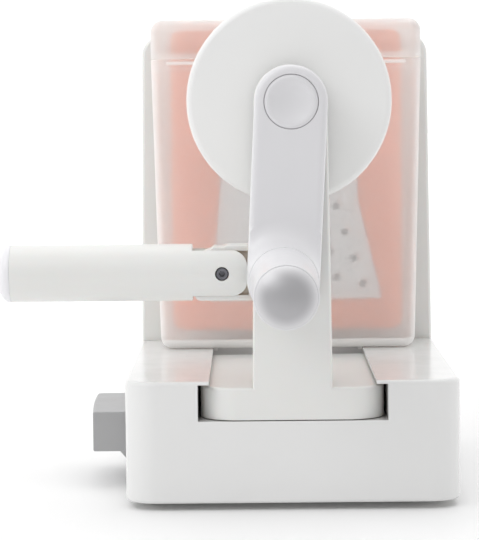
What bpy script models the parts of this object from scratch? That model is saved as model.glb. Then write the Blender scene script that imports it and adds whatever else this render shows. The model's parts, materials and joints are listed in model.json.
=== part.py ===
"""Table-top crank grater: a suction base with a sliding crank carriage, a folding push handle,
an upright that takes flat grating inserts, and a frosted box that stores the spare inserts.

Run with:  blender --background --python part.py

Axes: +Z up, -Y towards the person turning the crank, +X to the right seen from there.
The origin is the centre of the suction pad's face on the worktop.
"""

import math

import bmesh
import bpy
from mathutils import Matrix, Vector

MM = 0.001
GAP = 0.3 * MM  # clearance between pieces that touch
ROUND = 28  # sides of a large round piece
SMALL_ROUND = 14  # sides of screws, pins and bores

# Base
BASE_WIDTH = 160 * MM
BASE_LENGTH = 232 * MM
BASE_BOTTOM = 3.4 * MM
BASE_TOP = 61.5 * MM
BASE_CORNER = 15 * MM
WALL = 2.5 * MM
FRONT = -BASE_LENGTH / 2
CHANNEL_HALF = 45 * MM
CHANNEL_FLOOR = 42.6 * MM
CHANNEL_ROOF = 59.9 * MM
CHANNEL_END = 111 * MM
SLOT_HALF = 39.7 * MM
BASE_SCREW_X = 66 * MM
BASE_SCREW_Y = 94 * MM
FOOT_X = 60 * MM
FOOT_Y = 80 * MM
FOOT_RADIUS = 8 * MM

# Suction pad, its stem and the lever that lifts it
PAD_RADIUS = 54 * MM
STEM_LIFT = 2.5 * MM
SHAFT_Z = 28.6 * MM
SHAFT_RADIUS = 3 * MM
CAM_RADIUS = 5.2 * MM
LEVER_FRONT = -50.5 * MM
LEVER_BACK = 22.5 * MM
LEVER_HALF_HEIGHT = 10 * MM
LEVER_OUTER = -BASE_WIDTH / 2 - 19 * MM
LEVER_BULGE = 2.2 * MM
LEVER_HUB_RADIUS = 21 * MM

# Carriage: foot in the channel, and tower
FOOT_HALF = 43.9 * MM
CARRIAGE_BOTTOM = 43 * MM
CARRIAGE_TOP = 58.4 * MM
CARRIAGE_FRONT = FRONT + 0.5 * MM
CARRIAGE_REAR = 24 * MM
CARRIAGE_CORNER = 18 * MM
TOWER_REAR = CARRIAGE_FRONT + 31.5 * MM
TOWER_HALF_FOOT = 18.9 * MM
TOWER_HALF_HEAD = 17.2 * MM
HUB_Z = 193.2 * MM
TOWER_WALL = 3 * MM
COVER_THICKNESS = 2 * MM
TOWER_SCREW_Z = (74 * MM, 158 * MM)

# Crank
CRANK_RADIUS = 82.4 * MM
CRANK_TILT = math.radians(2.9)
ARM_FRONT = CARRIAGE_FRONT - 19 * MM
ARM_BACK = CARRIAGE_FRONT - 3 * MM
ARM_HALF = 17 * MM
ARM_FILLET = 3 * MM
COLLAR_FRONT = ARM_FRONT - 11.5 * MM
COLLAR_RADIUS = 16.4 * MM
COLLAR_SWEEP = 11.5 * MM
CAP_RADIUS = 12.6 * MM
DRIVE_RADIUS = 4 * MM
GRIP_RADIUS = 14.2 * MM
KNOB_LENGTH = 76 * MM
DOME = 6 * MM

# Food holder
DISC_RADIUS = 49.8 * MM
DISC_FRONT = TOWER_REAR + COVER_THICKNESS + 4 * MM
DISC_THICKNESS = 9 * MM
PRONG_TIP = DISC_FRONT + 27 * MM

# Folding push handle
PIVOT_X = -32.9 * MM
PIVOT_Z = 112.3 * MM
HANDLE_Y = (CARRIAGE_FRONT + TOWER_REAR) / 2
BARREL_RADIUS = 13.5 * MM
SHOULDER = 14.1 * MM  # pivot to the barrel's end face
TONGUE_REACH = 13.1 * MM  # pivot to the tongue's end and top
TONGUE_HALF = 7.6 * MM
TONGUE_ROOT = -13.9 * MM  # the tongue's inner end, inside the tower
FLANGE_FACE = -14.7 * MM
FLANGE_THICKNESS = 2.5 * MM
FLANGE_MARGIN = 1.5 * MM
POCKET_DEPTH = 5 * MM
EAR_HALF_HEIGHT = 11 * MM
EAR_REACH = 12 * MM
BARREL_END = -133.2 * MM

# Upright that holds the insert in use
UPRIGHT_FRONT = 66 * MM
UPRIGHT_REAR = 94 * MM
UPRIGHT_TOP = 228 * MM
UPRIGHT_FOOT_HALF = 79.3 * MM
UPRIGHT_TOP_HALF = 77.3 * MM
UPRIGHT_CORNER = 11 * MM
WINDOW_HALF = 52 * MM
WINDOW_BOTTOM = 78 * MM
WINDOW_TOP = 217 * MM
INSERT_SLOT_FRONT = 75.2 * MM
INSERT_SLOT_REAR = 85.8 * MM
INSERT_SLOT_HALF = 61.6 * MM
UPRIGHT_SCREW_X = 71 * MM

# Grating inserts, measured from the bottom centre of their front face
INSERT_WIDTH = 121.4 * MM
INSERT_HEIGHT = 158.6 * MM
INSERT_DEPTH = 9 * MM
INSERT_WEB = 3 * MM
PLATE_THICKNESS = 0.8 * MM
PLATE_OUTLINE = [(-40, 15.5), (50, 16.5), (37.5, 68.5), (35, 150), (-34, 150), (-35.2, 74)]

# Storage box
BOX_FRONT = 18 * MM
BOX_REAR = 64 * MM
BOX_BOTTOM = BASE_TOP + GAP
BOX_RIM = 214.4 * MM
BOX_HALF_BOTTOM = 67.2 * MM
BOX_HALF_TOP = 70.9 * MM
BOX_WALL = 1.8 * MM
BOX_CORNER = 7 * MM
BOX_NECK = 222 * MM
INSERT_REST = 71.2 * MM
RIB_OUTER = SLOT_HALF - GAP  # the ribs under the box drop into the base's slot
LID_BOTTOM = BOX_RIM + GAP
LID_TOP = 235.1 * MM


# ---------------------------------------------------------------- helpers


def clear_scene():
    for old in list(bpy.data.objects):
        bpy.data.objects.remove(old)


def material(name, colour, roughness, metallic=0.0):
    found = bpy.data.materials.get(name) or bpy.data.materials.new(name)
    found.use_nodes = True
    shader = found.node_tree.nodes["Principled BSDF"]
    shader.inputs["Base Color"].default_value = (*colour, 1)
    shader.inputs["Roughness"].default_value = roughness
    shader.inputs["Metallic"].default_value = metallic
    return found


def white():
    return material("white_plastic", (0.84, 0.84, 0.82), 0.35)


def steel():
    return material("steel", (0.62, 0.62, 0.63), 0.3, 1.0)


def axle_empty(name, location, parent=None, rotation=(0, 0, 0)):
    """An empty at a joint's axis, for the pieces that turn or slide there."""
    empty = bpy.data.objects.new(name, None)
    bpy.context.scene.collection.objects.link(empty)
    empty.location = location
    empty.rotation_euler = rotation
    empty.parent = parent
    return empty


def to_object(name, bm, finish=None, parent=None):
    bmesh.ops.remove_doubles(bm, verts=bm.verts, dist=1e-7)
    bmesh.ops.recalc_face_normals(bm, faces=bm.faces)
    mesh = bpy.data.meshes.new(name)
    bm.to_mesh(mesh)
    bm.free()
    mesh.shade_smooth()
    mesh.set_sharp_from_angle(angle=math.radians(35))
    made = bpy.data.objects.new(name, mesh)
    bpy.context.scene.collection.objects.link(made)
    if finish:
        mesh.materials.append(finish)
    made.parent = parent
    return made


def loft(rings, bm=None):
    """A closed solid through rings of points; its first and last rings are capped."""
    bm = bm or bmesh.new()
    rows = [[bm.verts.new(point) for point in ring] for ring in rings]
    for low, high in zip(rows, rows[1:]):
        for i in range(len(low)):
            j = (i + 1) % len(low)
            bm.faces.new((low[i], low[j], high[j], high[i]))
    bm.faces.new(reversed(rows[0]))
    bm.faces.new(rows[-1])
    return bm


def lift(outline, axis, along):
    """Puts 2-D points in space: (u, v) is (y, z) across X, (x, z) across Y and (x, y) across Z."""
    if axis == "X":
        return [Vector((along, u, v)) for u, v in outline]
    if axis == "Y":
        return [Vector((u, along, v)) for u, v in outline]
    return [Vector((u, v, along)) for u, v in outline]


def prism(outline, axis, start, end, bm=None):
    return loft([lift(outline, axis, start), lift(outline, axis, end)], bm)


def block(low, high, bm=None):
    corners = [(low[0], low[1]), (high[0], low[1]), (high[0], high[1]), (low[0], high[1])]
    return prism(corners, "Z", low[2], high[2], bm)


def turned(profile, axis, centre, sides=ROUND, bm=None):
    """A round solid: profile is (radius, distance along the axis), and radius 0 closes an end."""
    bm = bm or bmesh.new()
    rows = []
    for radius, along in profile:
        count = sides if radius > 0 else 1
        circle = [(radius * math.cos(2 * math.pi * i / sides), radius * math.sin(2 * math.pi * i / sides))
                  for i in range(count)]
        offset = Vector(centre)
        rows.append([bm.verts.new(point + offset) for point in lift(circle, axis, along)])
    closed = len(rows[0]) > 1 and len(rows[-1]) > 1
    pairs = list(zip(rows, rows[1:])) + ([(rows[-1], rows[0])] if closed else [])
    for low, high in pairs:
        for i in range(sides):
            j = (i + 1) % sides
            quad = [low[i % len(low)], low[j % len(low)], high[j % len(high)], high[i % len(high)]]
            unique = list(dict.fromkeys(quad))
            if len(unique) > 2:
                bm.faces.new(unique)
    return bm


def rod(radius, axis, start, end, centre=(0, 0, 0), sides=SMALL_ROUND, bm=None):
    return turned([(0, start), (radius, start), (radius, end), (0, end)], axis, centre, sides, bm)


def arc(centre, radius, start, end, steps):
    """Points on an arc, angles in degrees."""
    angles = [math.radians(start + (end - start) * i / steps) for i in range(steps + 1)]
    return [(centre[0] + radius * math.cos(a), centre[1] + radius * math.sin(a)) for a in angles]


def rounded(left, right, low, high, radii, steps=6):
    """A rectangle with a radius at each corner: bottom left, bottom right, top right, top left."""
    a, b, c, d = radii
    return (
        arc((left + a, low + a), a, 180, 270, steps)
        + arc((right - b, low + b), b, 270, 360, steps)
        + arc((right - c, high - c), c, 0, 90, steps)
        + arc((left + d, high - d), d, 90, 180, steps)
    )


def inset(outline, distance):
    """A convex outline, counter-clockwise, with every side moved inwards."""
    moved = []
    count = len(outline)
    for i in range(count):
        before, here, after = (Vector(outline[(i + k) % count]) for k in (-1, 0, 1))
        into = (here - before).normalized()
        out_of = (after - here).normalized()
        normals = [Vector((-side.y, side.x)) for side in (into, out_of)]
        middle = (normals[0] + normals[1]).normalized()
        moved.append(tuple(here + middle * (distance / max(0.3, middle.dot(normals[0])))))
    return moved


def combine(target, other, operation):
    """Cuts, joins or intersects with another object, which is then only a helper."""
    modifier = target.modifiers.new(f"{operation}_{other.name}", "BOOLEAN")
    modifier.operation = operation
    modifier.solver = "EXACT"
    modifier.object = other
    other.hide_render = True
    other.display_type = "WIRE"
    return target


def helper(target, bm, operation="DIFFERENCE"):
    other = to_object(f"{target.name}_helper", bm, parent=target.parent)
    return combine(target, other, operation)


def stepped(steps, axis, centre=(0, 0, 0), sides=SMALL_ROUND, bm=None):
    """A round solid of changing radius, for bores: steps is (radius, its end) after the first's start."""
    start = steps[0]
    profile = [(0, start)]
    for radius, end in steps[1:]:
        profile += [(radius, start), (radius, end)]
        start = end
    return turned(profile + [(0, start)], axis, centre, sides, bm)


def screw(name, axis, start, length, centre, parent=None, head=2.8 * MM, shank=1.2 * MM):
    """A pan-head screw whose head's outer face is at start; a negative length points it backwards."""
    way = 1 if length > 0 else -1
    neck = start + way * 2 * MM
    profile = [(0, start), (head * 0.8, start), (head, start + way * 0.6 * MM), (head, neck),
               (shank, neck), (shank, start + length), (0, start + length)]
    return to_object(name, turned(profile, axis, centre, 10), steel(), parent)


# ---------------------------------------------------------------- base


def base_outline(shrink=0.0):
    half_width = BASE_WIDTH / 2 - shrink
    half_length = BASE_LENGTH / 2 - shrink
    return rounded(-half_width, half_width, -half_length, half_length, [BASE_CORNER - shrink] * 4, 8)


def corners(x, y):
    """The four places that mirror (x, y) in both centre lines."""
    return [(sx * x, sy * y) for sx in (-1, 1) for sy in (-1, 1)]


def base_housing():
    edge = 1.2 * MM
    rings = [
        lift(base_outline(edge), "Z", BASE_BOTTOM),
        lift(base_outline(), "Z", BASE_BOTTOM + edge),
        lift(base_outline(), "Z", BASE_TOP - edge),
        lift(base_outline(edge), "Z", BASE_TOP),
    ]
    housing = to_object("base_housing", loft(rings), white())
    helper(housing, prism(base_outline(WALL), "Z", 0, BASE_TOP - WALL))
    trough = block((-CHANNEL_HALF - WALL, FRONT + 1 * MM, CHANNEL_FLOOR - WALL),
                   (CHANNEL_HALF + WALL, CHANNEL_END + WALL, BASE_TOP - 1 * MM))
    helper(housing, trough, "UNION")
    bosses = bmesh.new()
    for x, y in corners(BASE_SCREW_X, BASE_SCREW_Y):
        rod(4 * MM, "Z", BASE_BOTTOM + 4 * MM, BASE_TOP - 1 * MM, (x, y, 0), 12, bosses)
    helper(housing, bosses, "UNION")
    helper(housing, block((-CHANNEL_HALF, FRONT - 2 * MM, CHANNEL_FLOOR),
                          (CHANNEL_HALF, CHANNEL_END, CHANNEL_ROOF)))
    helper(housing, block((-SLOT_HALF, FRONT - 2 * MM, CHANNEL_ROOF - 1 * MM),
                          (SLOT_HALF, CHANNEL_END, BASE_TOP + 2 * MM)))
    holes = rod(SHAFT_RADIUS + GAP, "X", -BASE_WIDTH / 2 - 2 * MM, -BASE_WIDTH / 2 + 5 * MM, (0, 0, SHAFT_Z))
    for x, y in corners(BASE_SCREW_X, BASE_SCREW_Y):
        rod(1.5 * MM, "Z", 0, 24 * MM, (x, y, 0), 10, holes)
    return helper(housing, holes)


def bottom_plate():
    low = BASE_BOTTOM + GAP
    top = low + WALL
    plate = to_object("bottom_plate", prism(base_outline(WALL + GAP), "Z", low, top), white())
    cradles = bmesh.new()
    for x in (-24 * MM, 24 * MM):
        block((x - 2 * MM, -9 * MM, top - 1 * MM), (x + 2 * MM, 9 * MM, SHAFT_Z + 1 * MM), cradles)
    helper(plate, cradles, "UNION")
    holes = rod(13.5 * MM, "Z", 0, top + 2 * MM, (0, 0, 0), 32)
    for x, y in corners(BASE_SCREW_X, BASE_SCREW_Y):
        rod(1.6 * MM, "Z", 0, top + 2 * MM, (x, y, 0), 10, holes)
    helper(plate, holes)
    groove = block((-30 * MM, -SHAFT_RADIUS - GAP, SHAFT_Z - SHAFT_RADIUS - GAP),
                   (30 * MM, SHAFT_RADIUS + GAP, SHAFT_Z + 3 * MM))
    return helper(plate, groove)


def base_fasteners_and_feet():
    rubber = material("grey_rubber", (0.32, 0.32, 0.33), 0.8)
    for number, (x, y) in enumerate(corners(BASE_SCREW_X, BASE_SCREW_Y), 1):
        screw(f"base_screw_{number}", "Z", BASE_BOTTOM - 2 * MM, 16 * MM, (x, y, 0))
    for number, (x, y) in enumerate(corners(FOOT_X, FOOT_Y), 1):
        profile = [(0, 0), (FOOT_RADIUS - 0.8 * MM, 0), (FOOT_RADIUS, 0.8 * MM), (FOOT_RADIUS, BASE_BOTTOM),
                   (0, BASE_BOTTOM)]
        to_object(f"rubber_foot_{number}", turned(profile, "Z", (x, y, 0), 16), rubber)


def suction_pad():
    rubber = material("pad_rubber", (0.2, 0.2, 0.21), 0.7)
    profile = [(0, 0), (PAD_RADIUS, 0), (PAD_RADIUS, 0.8 * MM), (PAD_RADIUS - 5 * MM, 2 * MM),
               (14 * MM, 3 * MM), (9 * MM, 4 * MM), (9 * MM, 9 * MM), (0, 9 * MM)]
    return to_object("suction_pad", turned(profile, "Z", (0, 0, 0)), rubber)


def pad_stem(parent):
    """A flanged post with a window round the cam."""
    window_half = CAM_RADIUS + STEM_LIFT + 1.4 * MM
    post = turned([(0, 9.3 * MM), (12 * MM, 9.3 * MM), (12 * MM, 11.5 * MM), (6 * MM, 12.5 * MM),
                   (6 * MM, 21 * MM), (0, 21 * MM)], "Z", (0, 0, 0), 24)
    stem = to_object("pad_stem", post, material("grey_plastic", (0.45, 0.45, 0.46), 0.5), parent)
    top = SHAFT_Z + CAM_RADIUS + 2.6 * MM
    helper(stem, block((-5 * MM, -window_half - 2.5 * MM, 19.4 * MM), (5 * MM, window_half + 2.5 * MM, top)),
           "UNION")
    window = block((-8 * MM, -window_half, SHAFT_Z - CAM_RADIUS - 0.5 * MM),
                   (8 * MM, window_half, SHAFT_Z + CAM_RADIUS + 1 * MM))
    return helper(stem, window)


def lever_shaft(parent):
    """The shaft through the left wall, with the eccentric that lifts the stem."""
    shaft = to_object("lever_shaft", rod(SHAFT_RADIUS, "X", LEVER_OUTER + 6 * MM, 30 * MM), steel(), parent)
    cam = rod(CAM_RADIUS, "X", -4.5 * MM, 4.5 * MM, (0, -STEM_LIFT, 0), 28)
    return helper(shaft, cam, "UNION")


def lever_outline():
    """The lever bar seen from above: a flat front end, a bulging outer side and a rounded far corner."""
    inner = -BASE_WIDTH / 2 - 0.8 * MM
    corner = 3 * MM
    outer = []
    for step in range(9):
        share = step / 8
        bulge = LEVER_BULGE * math.sin(math.radians(108) * (1 - share))
        outer.append((LEVER_OUTER - bulge, LEVER_BACK - corner + (LEVER_FRONT - LEVER_BACK + corner) * share))
    far_corner = arc((outer[0][0] + corner, outer[0][1]), corner, 90, 180, 4)[:-1]
    return [(inner, LEVER_FRONT), (inner, LEVER_BACK)] + far_corner + outer


def lever_handle(parent):
    grey = material("lever_grey", (0.45, 0.45, 0.46), 0.45)
    edge = 0.6 * MM
    half = LEVER_HALF_HEIGHT
    rings = [lift(inset(lever_outline(), edge), "Z", -half), lift(lever_outline(), "Z", edge - half),
             lift(lever_outline(), "Z", half - edge), lift(inset(lever_outline(), edge), "Z", half)]
    handle = to_object("lever_handle", loft(rings), grey, parent)
    wall_face = -BASE_WIDTH / 2 - 0.8 * MM
    hub = [lift(lever_hub_outline(LEVER_HUB_RADIUS), "X", wall_face),
           lift(lever_hub_outline(LEVER_HUB_RADIUS), "X", wall_face - 4.5 * MM),
           lift(lever_hub_outline(LEVER_HUB_RADIUS - 4.5 * MM), "X", wall_face - 8.5 * MM)]
    helper(handle, loft(hub), "UNION")
    bores = [LEVER_OUTER - 5 * MM, (4.2 * MM, LEVER_OUTER + 3 * MM), (1.6 * MM, LEVER_OUTER + 5.5 * MM),
             (SHAFT_RADIUS + GAP, wall_face + 2 * MM)]
    return helper(handle, stepped(bores, "X"))


def lever_hub_outline(radius):
    """The hub that hangs below the lever bar, flat on top."""
    return arc((0, 0), radius, 180, 360, 14) + [(radius * 0.6, 8 * MM), (-radius * 0.6, 8 * MM)]


def suction_lever():
    axis = axle_empty("lever_axis", (0, 0, SHAFT_Z))
    lever_handle(axis)
    shaft = lever_shaft(axis)
    helper(shaft, rod(1.5 * MM, "X", LEVER_OUTER, LEVER_OUTER + 14 * MM, sides=12))
    screw("lever_screw", "X", LEVER_OUTER + 0.7 * MM, 12 * MM, (0, 0, 0), axis, head=3.6 * MM)
    inside = -BASE_WIDTH / 2 + WALL + 1 * MM
    clip = turned([(SHAFT_RADIUS + GAP, inside), (6 * MM, inside), (6 * MM, inside + 1.2 * MM),
                   (SHAFT_RADIUS + GAP, inside + 1.2 * MM)], "X", (0, 0, 0))
    to_object("lever_clip", clip, steel(), axis)


# ---------------------------------------------------------------- carriage


def tower_outline(shrink=0.0, low=CARRIAGE_BOTTOM + 6 * MM):
    """The tower seen from the crank side: a post that narrows upwards to a round head."""
    grow = (TOWER_HALF_FOOT - TOWER_HALF_HEAD) / (HUB_Z - CARRIAGE_TOP)
    foot = TOWER_HALF_HEAD + grow * (HUB_Z - low) - shrink
    head = TOWER_HALF_HEAD - shrink
    return [(-foot, low), (foot, low)] + arc((0, HUB_Z), head, 0, 180, 16)


def foot_outline(shrink=0.0):
    front = CARRIAGE_CORNER - shrink
    rear = 5 * MM - shrink
    return rounded(-FOOT_HALF + shrink, FOOT_HALF - shrink, CARRIAGE_FRONT + shrink, CARRIAGE_REAR - shrink,
                   [front, front, rear, rear], 8)


def tongue_outline():
    """The bracket for the push handle: its upper left corner is cut back so that the handle can fold up."""
    reach = TONGUE_REACH
    left = [(PIVOT_X - x * MM, PIVOT_Z + z * MM)
            for x, z in [(-2.1, 13.1), (-0.4, 12.2), (1.6, 12.3), (3.9, 12.6), (5.6, 11.2), (9, 9.8)]]
    tip = arc((PIVOT_X, PIVOT_Z), reach, 145, 180, 3)
    heel = arc((PIVOT_X - reach + 3 * MM, PIVOT_Z - reach + 3 * MM), 3 * MM, 180, 270, 3)
    return [(TONGUE_ROOT, PIVOT_Z + reach)] + left + tip + heel + [(TONGUE_ROOT, PIVOT_Z - reach)]


def carriage_body(parent):
    rings = [lift(foot_outline(), "Z", CARRIAGE_BOTTOM), lift(foot_outline(), "Z", CARRIAGE_TOP - 1 * MM),
             lift(foot_outline(1 * MM), "Z", CARRIAGE_TOP)]
    body = to_object("carriage_body", loft(rings), white(), parent)
    helper(body, prism(tower_outline(), "Y", CARRIAGE_FRONT, TOWER_REAR), "UNION")
    helper(body, foot_pockets())
    pocket = prism(tower_outline(TOWER_WALL, CARRIAGE_TOP + 2 * MM), "Y", CARRIAGE_FRONT + TOWER_WALL,
                   TOWER_REAR + 2 * MM)
    helper(body, pocket)
    helper(body, tower_bosses(), "UNION")
    half, reach = TONGUE_HALF + GAP, TONGUE_REACH + GAP
    helper(body, block((-TOWER_HALF_FOOT - 3 * MM, HANDLE_Y - half, PIVOT_Z - reach),
                       (TONGUE_ROOT, HANDLE_Y + half, PIVOT_Z + reach)))
    return helper(body, carriage_bores())


def handle_bracket(parent):
    """The tongue that the push handle folds on, passed out through the tower's side wall from within."""
    front, rear = HANDLE_Y - TONGUE_HALF, HANDLE_Y + TONGUE_HALF
    bracket = to_object("handle_bracket", prism(tongue_outline(), "Y", front, rear), white(), parent)
    reach = TONGUE_REACH + FLANGE_MARGIN
    flange = block((FLANGE_FACE, front - FLANGE_MARGIN, PIVOT_Z - reach),
                   (FLANGE_FACE + FLANGE_THICKNESS, rear + FLANGE_MARGIN, PIVOT_Z + reach))
    helper(bracket, flange, "UNION")
    helper(bracket, prism(tongue_pocket(), "Y", front - 1 * MM, front + POCKET_DEPTH))
    helper(bracket, rod(5.2 * MM, "Y", front, rear - 2 * MM, (PIVOT_X, 0, PIVOT_Z)), "UNION")
    return helper(bracket, rod(2.3 * MM, "Y", front - 2 * MM, rear + 2 * MM, (PIVOT_X, 0, PIVOT_Z)))


def tongue_pocket():
    """The hollow in the tongue's front, which shows as dark corners behind the handle's round end."""
    reach = TONGUE_REACH - 2.8 * MM
    return [(-TOWER_HALF_FOOT - 1.5 * MM, PIVOT_Z + reach), (PIVOT_X - 2 * MM, PIVOT_Z + reach),
            (PIVOT_X - 8 * MM, PIVOT_Z + 5 * MM), (PIVOT_X - 9.5 * MM, PIVOT_Z - reach + 1 * MM),
            (PIVOT_X - 8 * MM, PIVOT_Z - reach), (-TOWER_HALF_FOOT - 1.5 * MM, PIVOT_Z - reach)]


def foot_pockets():
    """The foot is moulded hollow from below, with ribs between its pockets."""
    bm = bmesh.new()
    inner = FOOT_HALF - 3 * MM
    roof = CARRIAGE_TOP - 3 * MM
    rows = [(CARRIAGE_FRONT + CARRIAGE_CORNER, -44 * MM), (-41 * MM, -12 * MM), (-9 * MM, CARRIAGE_REAR - 3 * MM)]
    for start, end in rows:
        for left, right in ((-inner, -1.5 * MM), (1.5 * MM, inner)):
            block((left, start, CARRIAGE_BOTTOM - 2 * MM), (right, end, roof), bm)
    return bm


def tower_bosses():
    bm = rod(9.5 * MM, "Y", CARRIAGE_FRONT + 1 * MM, TOWER_REAR, (0, 0, HUB_Z), 20)
    for z in TOWER_SCREW_Z:
        rod(3.6 * MM, "Y", CARRIAGE_FRONT + 1 * MM, TOWER_REAR, (0, 0, z), 12, bm)
    return bm


def carriage_bores():
    bm = rod(6.3 * MM, "Y", CARRIAGE_FRONT - 2 * MM, TOWER_REAR + 2 * MM, (0, 0, HUB_Z), 20)
    for z in TOWER_SCREW_Z:
        rod(1.5 * MM, "Y", TOWER_REAR - 14 * MM, TOWER_REAR + 2 * MM, (0, 0, z), 12, bm)
    return bm


def tower_rear_cover(parent):
    start = TOWER_REAR + GAP
    outline = tower_outline(0, CARRIAGE_TOP + 1 * MM)
    cover = to_object("tower_rear_cover", prism(outline, "Y", start, start + COVER_THICKNESS), white(), parent)
    holes = rod(6.3 * MM, "Y", start - 1 * MM, start + 4 * MM, (0, 0, HUB_Z), 20)
    for z in TOWER_SCREW_Z:
        rod(1.5 * MM, "Y", start - 1 * MM, start + 4 * MM, (0, 0, z), 10, holes)
    helper(cover, holes)
    for number, z in enumerate(TOWER_SCREW_Z, 1):
        screw(f"tower_screw_{number}", "Y", start + COVER_THICKNESS + 2 * MM + GAP, -12 * MM, (0, 0, z), parent,
              head=2.5 * MM)
    return cover


def shaft_bushes(parent):
    """Flanged bushes at both ends of the bore through the tower's head."""
    brass = material("bush_plastic", (0.75, 0.74, 0.7), 0.4)
    inner, outer, flange = DRIVE_RADIUS + 0.25 * MM, 6 * MM, 8.5 * MM
    face = CARRIAGE_FRONT - GAP
    front = [(inner, face - 1.4 * MM), (flange, face - 1.4 * MM), (flange, face), (outer, face),
             (outer, face + 13 * MM), (inner, face + 13 * MM)]
    to_object("front_bush", turned(front, "Y", (0, 0, HUB_Z), 20), brass, parent)
    face = TOWER_REAR + COVER_THICKNESS + 2 * GAP
    rear = [(inner, face - 15 * MM), (outer, face - 15 * MM), (outer, face), (flange, face),
            (flange, face + 0.9 * MM), (inner, face + 0.9 * MM)]
    to_object("rear_bush", turned(rear, "Y", (0, 0, HUB_Z), 20), brass, parent)


# ---------------------------------------------------------------- crank and food holder


def arm_outline(shrink=0.0):
    """The arm about the hub: a bar with round ends, the lower one round the knob."""
    half = ARM_HALF - shrink
    return arc((0, 0), half, 0, 180, 14) + arc((0, -CRANK_RADIUS), half, 180, 360, 14)


def crank_arm(parent):
    rings = [lift(arm_outline(), "Y", ARM_BACK)]
    for step in range(4):
        angle = math.radians(30 * step)
        rings.append(lift(arm_outline(ARM_FILLET * (1 - math.cos(angle))), "Y",
                          ARM_FRONT + ARM_FILLET * (1 - math.sin(angle))))
    arm = to_object("crank_arm", loft(rings), white(), parent)
    sweep = [(0, ARM_BACK - 2 * MM), (COLLAR_RADIUS + COLLAR_SWEEP, ARM_BACK - 2 * MM)]
    for step in range(7):
        angle = math.radians(15 * step)
        sweep.append((COLLAR_RADIUS + COLLAR_SWEEP * (1 - math.sin(angle)),
                      ARM_FRONT - COLLAR_SWEEP * (1 - math.cos(angle))))
    sweep.append((0, COLLAR_FRONT))
    collar = to_object("crank_arm_collar", turned(sweep, "Y", (0, 0, -CRANK_RADIUS), 33), parent=parent)
    helper(collar, prism(arm_outline(0.4 * MM), "Y", COLLAR_FRONT - 2 * MM, ARM_BACK), "INTERSECT")
    combine(arm, collar, "UNION")
    helper(arm, prism(arm_pocket(), "Y", ARM_FRONT + 4 * MM, ARM_BACK + 2 * MM))
    bores = stepped([ARM_FRONT - 2 * MM, (CAP_RADIUS + GAP, ARM_FRONT + 4 * MM), (5 * MM, ARM_FRONT + 6.5 * MM),
                     (2.1 * MM, ARM_FRONT + 7.5 * MM), (DRIVE_RADIUS + 0.25 * MM, ARM_BACK + 2 * MM)], "Y", sides=ROUND)
    rod(DRIVE_RADIUS + 0.25 * MM, "Y", COLLAR_FRONT - 2 * MM, COLLAR_FRONT + 20 * MM, (0, 0, -CRANK_RADIUS),
        bm=bores)
    return helper(arm, bores)


def arm_pocket():
    """The hollow in the arm's back, between the hub boss and the knob boss."""
    half = ARM_HALF - 3 * MM
    low, high = -CRANK_RADIUS + 12 * MM, -15 * MM
    return [(-half, low), (half, low), (half, high), (-half, high)]


def crank():
    """Everything that turns with the crank, built about the drive shaft's axis."""
    axis = axle_empty("crank_axis", (0, 0, HUB_Z), rotation=(0, CRANK_TILT, 0))
    crank_arm(axis)
    cap_face = ARM_FRONT - 0.2 * MM
    dish = [(0, cap_face + 1.6 * MM), (5 * MM, cap_face + 1.3 * MM), (9 * MM, cap_face + 0.2 * MM),
            (10.6 * MM, cap_face), (12 * MM, cap_face + 0.4 * MM), (CAP_RADIUS, cap_face + 1.2 * MM),
            (CAP_RADIUS, ARM_FRONT + 3.7 * MM), (0, ARM_FRONT + 3.7 * MM)]
    to_object("hub_cap", turned(dish, "Y", (0, 0, 0)), white(), axis)
    screw("hub_screw", "Y", ARM_FRONT + 4.2 * MM, 12 * MM, (0, 0, 0), axis, head=4.2 * MM, shank=1.8 * MM)
    shaft_end = DISC_FRONT + DISC_THICKNESS - 1 * MM
    shaft = to_object("crank_shaft", rod(DRIVE_RADIUS, "Y", ARM_FRONT + 7.8 * MM, shaft_end, sides=24), steel(), axis)
    drill = rod(2.1 * MM, "Y", ARM_FRONT + 6 * MM, ARM_FRONT + 18 * MM)
    rod(2.1 * MM, "Y", shaft_end - 12 * MM, shaft_end + 2 * MM, bm=drill)
    helper(shaft, drill)
    knob_axle(axis)
    food_holder(axis)
    return axis


def knob_axle(parent):
    """A shouldered pin fixed in the arm's collar, which the knob spins on."""
    end = COLLAR_FRONT - KNOB_LENGTH + 7 * MM
    profile = [(0, COLLAR_FRONT + 19 * MM), (DRIVE_RADIUS, COLLAR_FRONT + 19 * MM), (DRIVE_RADIUS, end),
               (7 * MM, end), (7 * MM, end - 2 * MM), (0, end - 2 * MM)]
    return to_object("knob_axle", turned(profile, "Y", (0, 0, -CRANK_RADIUS), 24), steel(), parent)


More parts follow.
